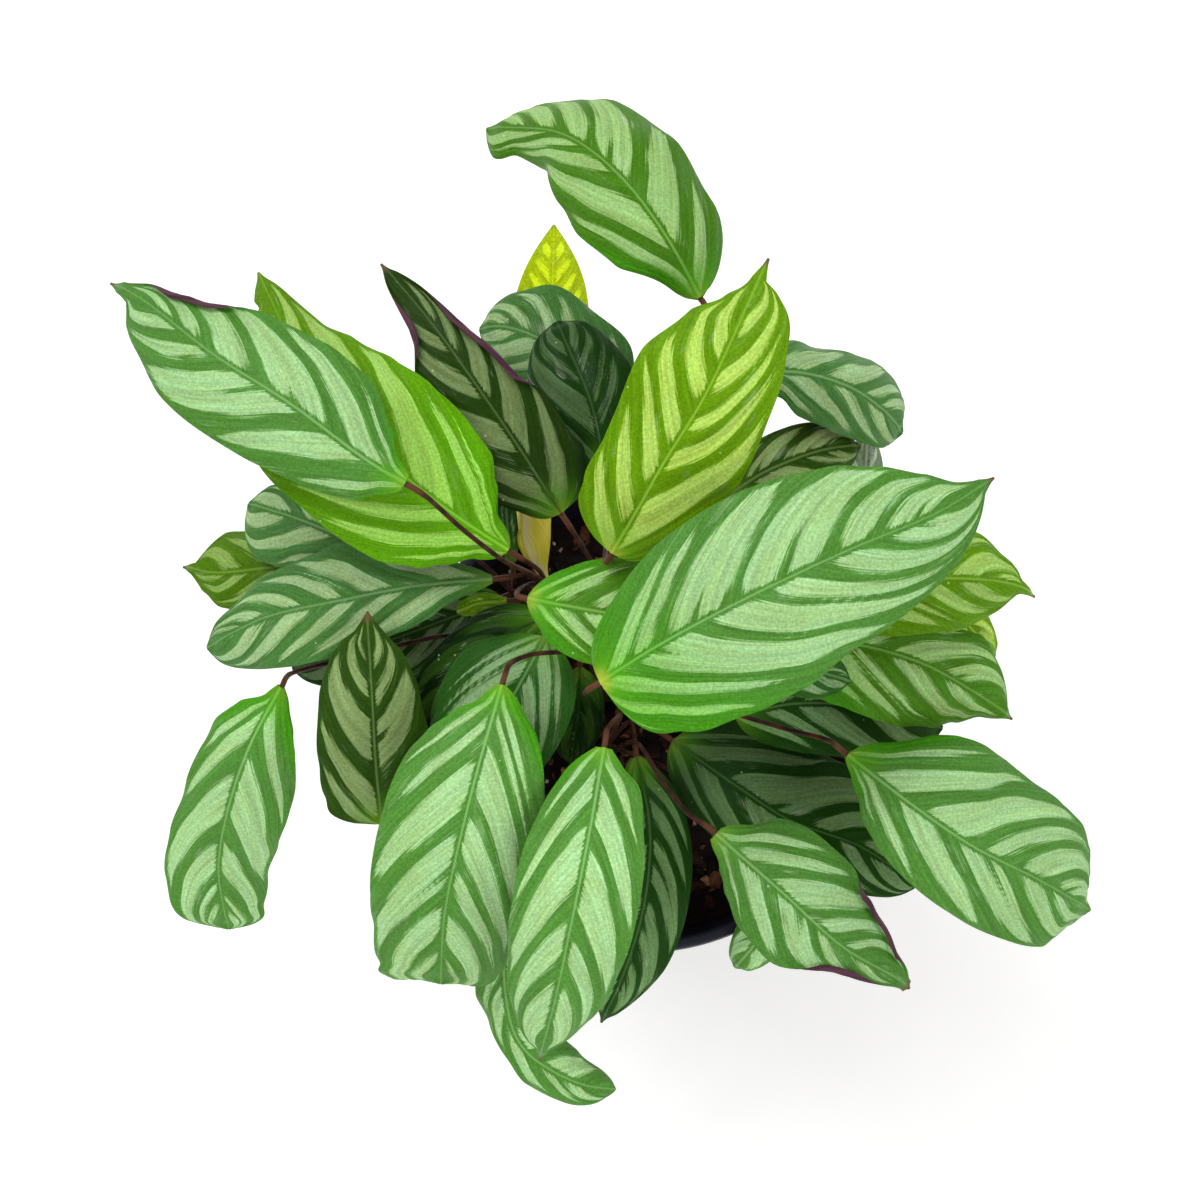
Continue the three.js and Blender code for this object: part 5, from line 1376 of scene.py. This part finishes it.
for share, colour in ((mottle_share, "#52301E"), (olive_share, "#5C5A2A"), (joint_share, "#7A4C32")):
    coat = node(stalk_skin, "Mix", {0: share, 6: coat, 7: linear(colour)}, data_type="RGBA").outputs[2]
grained = node(stalk_skin, "Bump", {"Strength": 0.4, "Distance": 0.1 * MM, "Height": fine_grain})
satin = {"Base Color": coat, "Roughness": 0.4, "Normal": grained, "Specular IOR Level": 0.15}
stalk_surface = node(stalk_skin, "BsdfPrincipled", satin)
node(stalk_skin, "OutputMaterial", {"Surface": stalk_surface})


def shoot_mesh(name, stalks):
    """The old sheaths round a shoot's foot: open, overlapping sleeves with slanting torn tops."""
    luck = np.random.default_rng(stalks)
    x, y = SHOOTS[name]
    shape = bmesh.new()
    aside = np.abs(np.linspace(-1, 1, SLEEVE_COLUMNS))[None, :]
    up = np.linspace(0, 1, SLEEVE_ROWS)[:, None]
    for sleeve in range(SLEEVES):
        turn = luck.uniform(0, 2 * math.pi)
        tall = luck.uniform(17, 32) + 3 * (SLEEVES - 1 - sleeve)
        angles = np.linspace(-SLEEVE_ARC, SLEEVE_ARC, SLEEVE_COLUMNS)[None, :] + turn
        z = MIX_TOP - 0.5 + up * (tall * (1 - 0.55 * aside**1.5))
        radius = 4.1 + 0.35 * sleeve - (1.5 - 0.2 * sleeve) * up + 0.25 * np.sin(3 * angles + sleeve)
        grid = []
        for r in (radius + SLEEVE_THICKNESS / 2, radius - SLEEVE_THICKNESS / 2):
            points = np.stack([x + r * np.cos(angles), y + r * np.sin(angles), z], -1) * MM
            grid.append([[shape.verts.new(p) for p in row] for row in points.tolist()])
        outer, inner = grid
        for a in range(SLEEVE_ROWS - 1):
            for b in range(SLEEVE_COLUMNS - 1):
                shape.faces.new((outer[a][b], outer[a][b + 1], outer[a + 1][b + 1], outer[a + 1][b]))
                shape.faces.new((inner[a][b], inner[a + 1][b], inner[a + 1][b + 1], inner[a][b + 1]))
            shape.faces.new((outer[a][0], outer[a + 1][0], inner[a + 1][0], inner[a][0]))
            shape.faces.new((outer[a][-1], inner[a][-1], inner[a + 1][-1], outer[a + 1][-1]))
        for b in range(SLEEVE_COLUMNS - 1):
            shape.faces.new((outer[0][b], inner[0][b], inner[0][b + 1], outer[0][b + 1]))
            shape.faces.new((outer[-1][b], outer[-1][b + 1], inner[-1][b + 1], inner[-1][b]))
    mesh = mesh_from(shape, name)
    brown_at, olive_at = (MIX_TOP + height for height in SLEEVE_TURNS)
    olives = [step_up(vertex.co.z / MM, brown_at, olive_at) for vertex in mesh.vertices]
    keep_note(mesh, "stalk", [(0, olive, 0) for olive in olives])
    return smoothed(mesh, SLEEVE_EDGES)


for name, (x, y) in SHOOTS.items():
    numbers = [k for k, leaf in enumerate(LEAVES, 1) if leaf["shoot"] == name]
    piece(f"sheaths_{name}", shoot_mesh(name, len(numbers)), [stalk_skin], [f"shoot_{name}"])
    for order, number in enumerate(numbers):
        foot = np.array([x, y, MIX_TOP + FOOT_RISE])
        foot = foot + np.array([*circle_point(FOOT_RING, order, len(numbers)), 0])
        curve = stalk_curve(LEAVES[number - 1], foot)
        stalk = tube_mesh(f"stalk_{number:02}", curve, stalk_radius, STALK_SIDES, stalk_notes)
        piece(f"stalk_{number:02}", stalk, [stalk_skin])

# ---- Studio ------------------------------------------------------------------------------------
# A pale paper floor under even studio light: a large soft box high on the left, and weaker ones on the
# right and in front.
FLOOR_HALF = 6  # metres
LIGHTS_AIM = Vector((0, 0, 0.18))
paper = new_material("studio_paper")
place = node(paper, "TexCoord").outputs["Object"]
paper_grain = node(paper, "TexNoise", {"Vector": place, "Scale": 60.0, "Detail": 4.0})
dull, clean = linear("#F4F4F2"), linear("#FBFBFA")
paper_colour = node(paper, "Mix", {0: paper_grain, 6: dull, 7: clean}, data_type="RGBA").outputs[2]
backlit = {"Emission Color": (1, 1, 1, 1), "Emission Strength": 0.32}
paper_surface = node(paper, "BsdfPrincipled", {"Base Color": paper_colour, "Roughness": 0.9, **backlit})
node(paper, "OutputMaterial", {"Surface": paper_surface})
floor_mesh = bpy.data.meshes.new("floor")
floor_corners = [(x * FLOOR_HALF, y * FLOOR_HALF, 0) for x, y in ((-1, -1), (1, -1), (1, 1), (-1, 1))]
floor_mesh.from_pydata(floor_corners, [], [(0, 1, 2, 3)])
floor_mesh.materials.append(paper)
floor = bpy.data.objects.new("floor", floor_mesh)
bpy.context.scene.collection.objects.link(floor)

world = bpy.data.worlds.new("studio")
world.use_nodes = True
world.node_tree.nodes["Background"].inputs[0].default_value = linear("#F8F7F4")
world.node_tree.nodes["Background"].inputs[1].default_value = 0.48
bpy.context.scene.world = world

for name, place, size, power in (
    ("soft_box_left", (-0.7, 0.7, 1.6), 1.1, 19),
    ("soft_box_right", (1.2, -0.3, 1.1), 1.0, 6),
    ("soft_box_front", (0.1, -1.2, 1.0), 0.9, 4),
):
    lamp = bpy.data.lights.new(name, "AREA")
    lamp.size = size
    lamp.energy = power
    light = bpy.data.objects.new(name, lamp)
    light.location = place
    light.rotation_euler = (LIGHTS_AIM - Vector(place)).to_track_quat("-Z", "Y").to_euler()
    bpy.context.scene.collection.objects.link(light)

bpy.context.scene.view_settings.view_transform = "Standard"
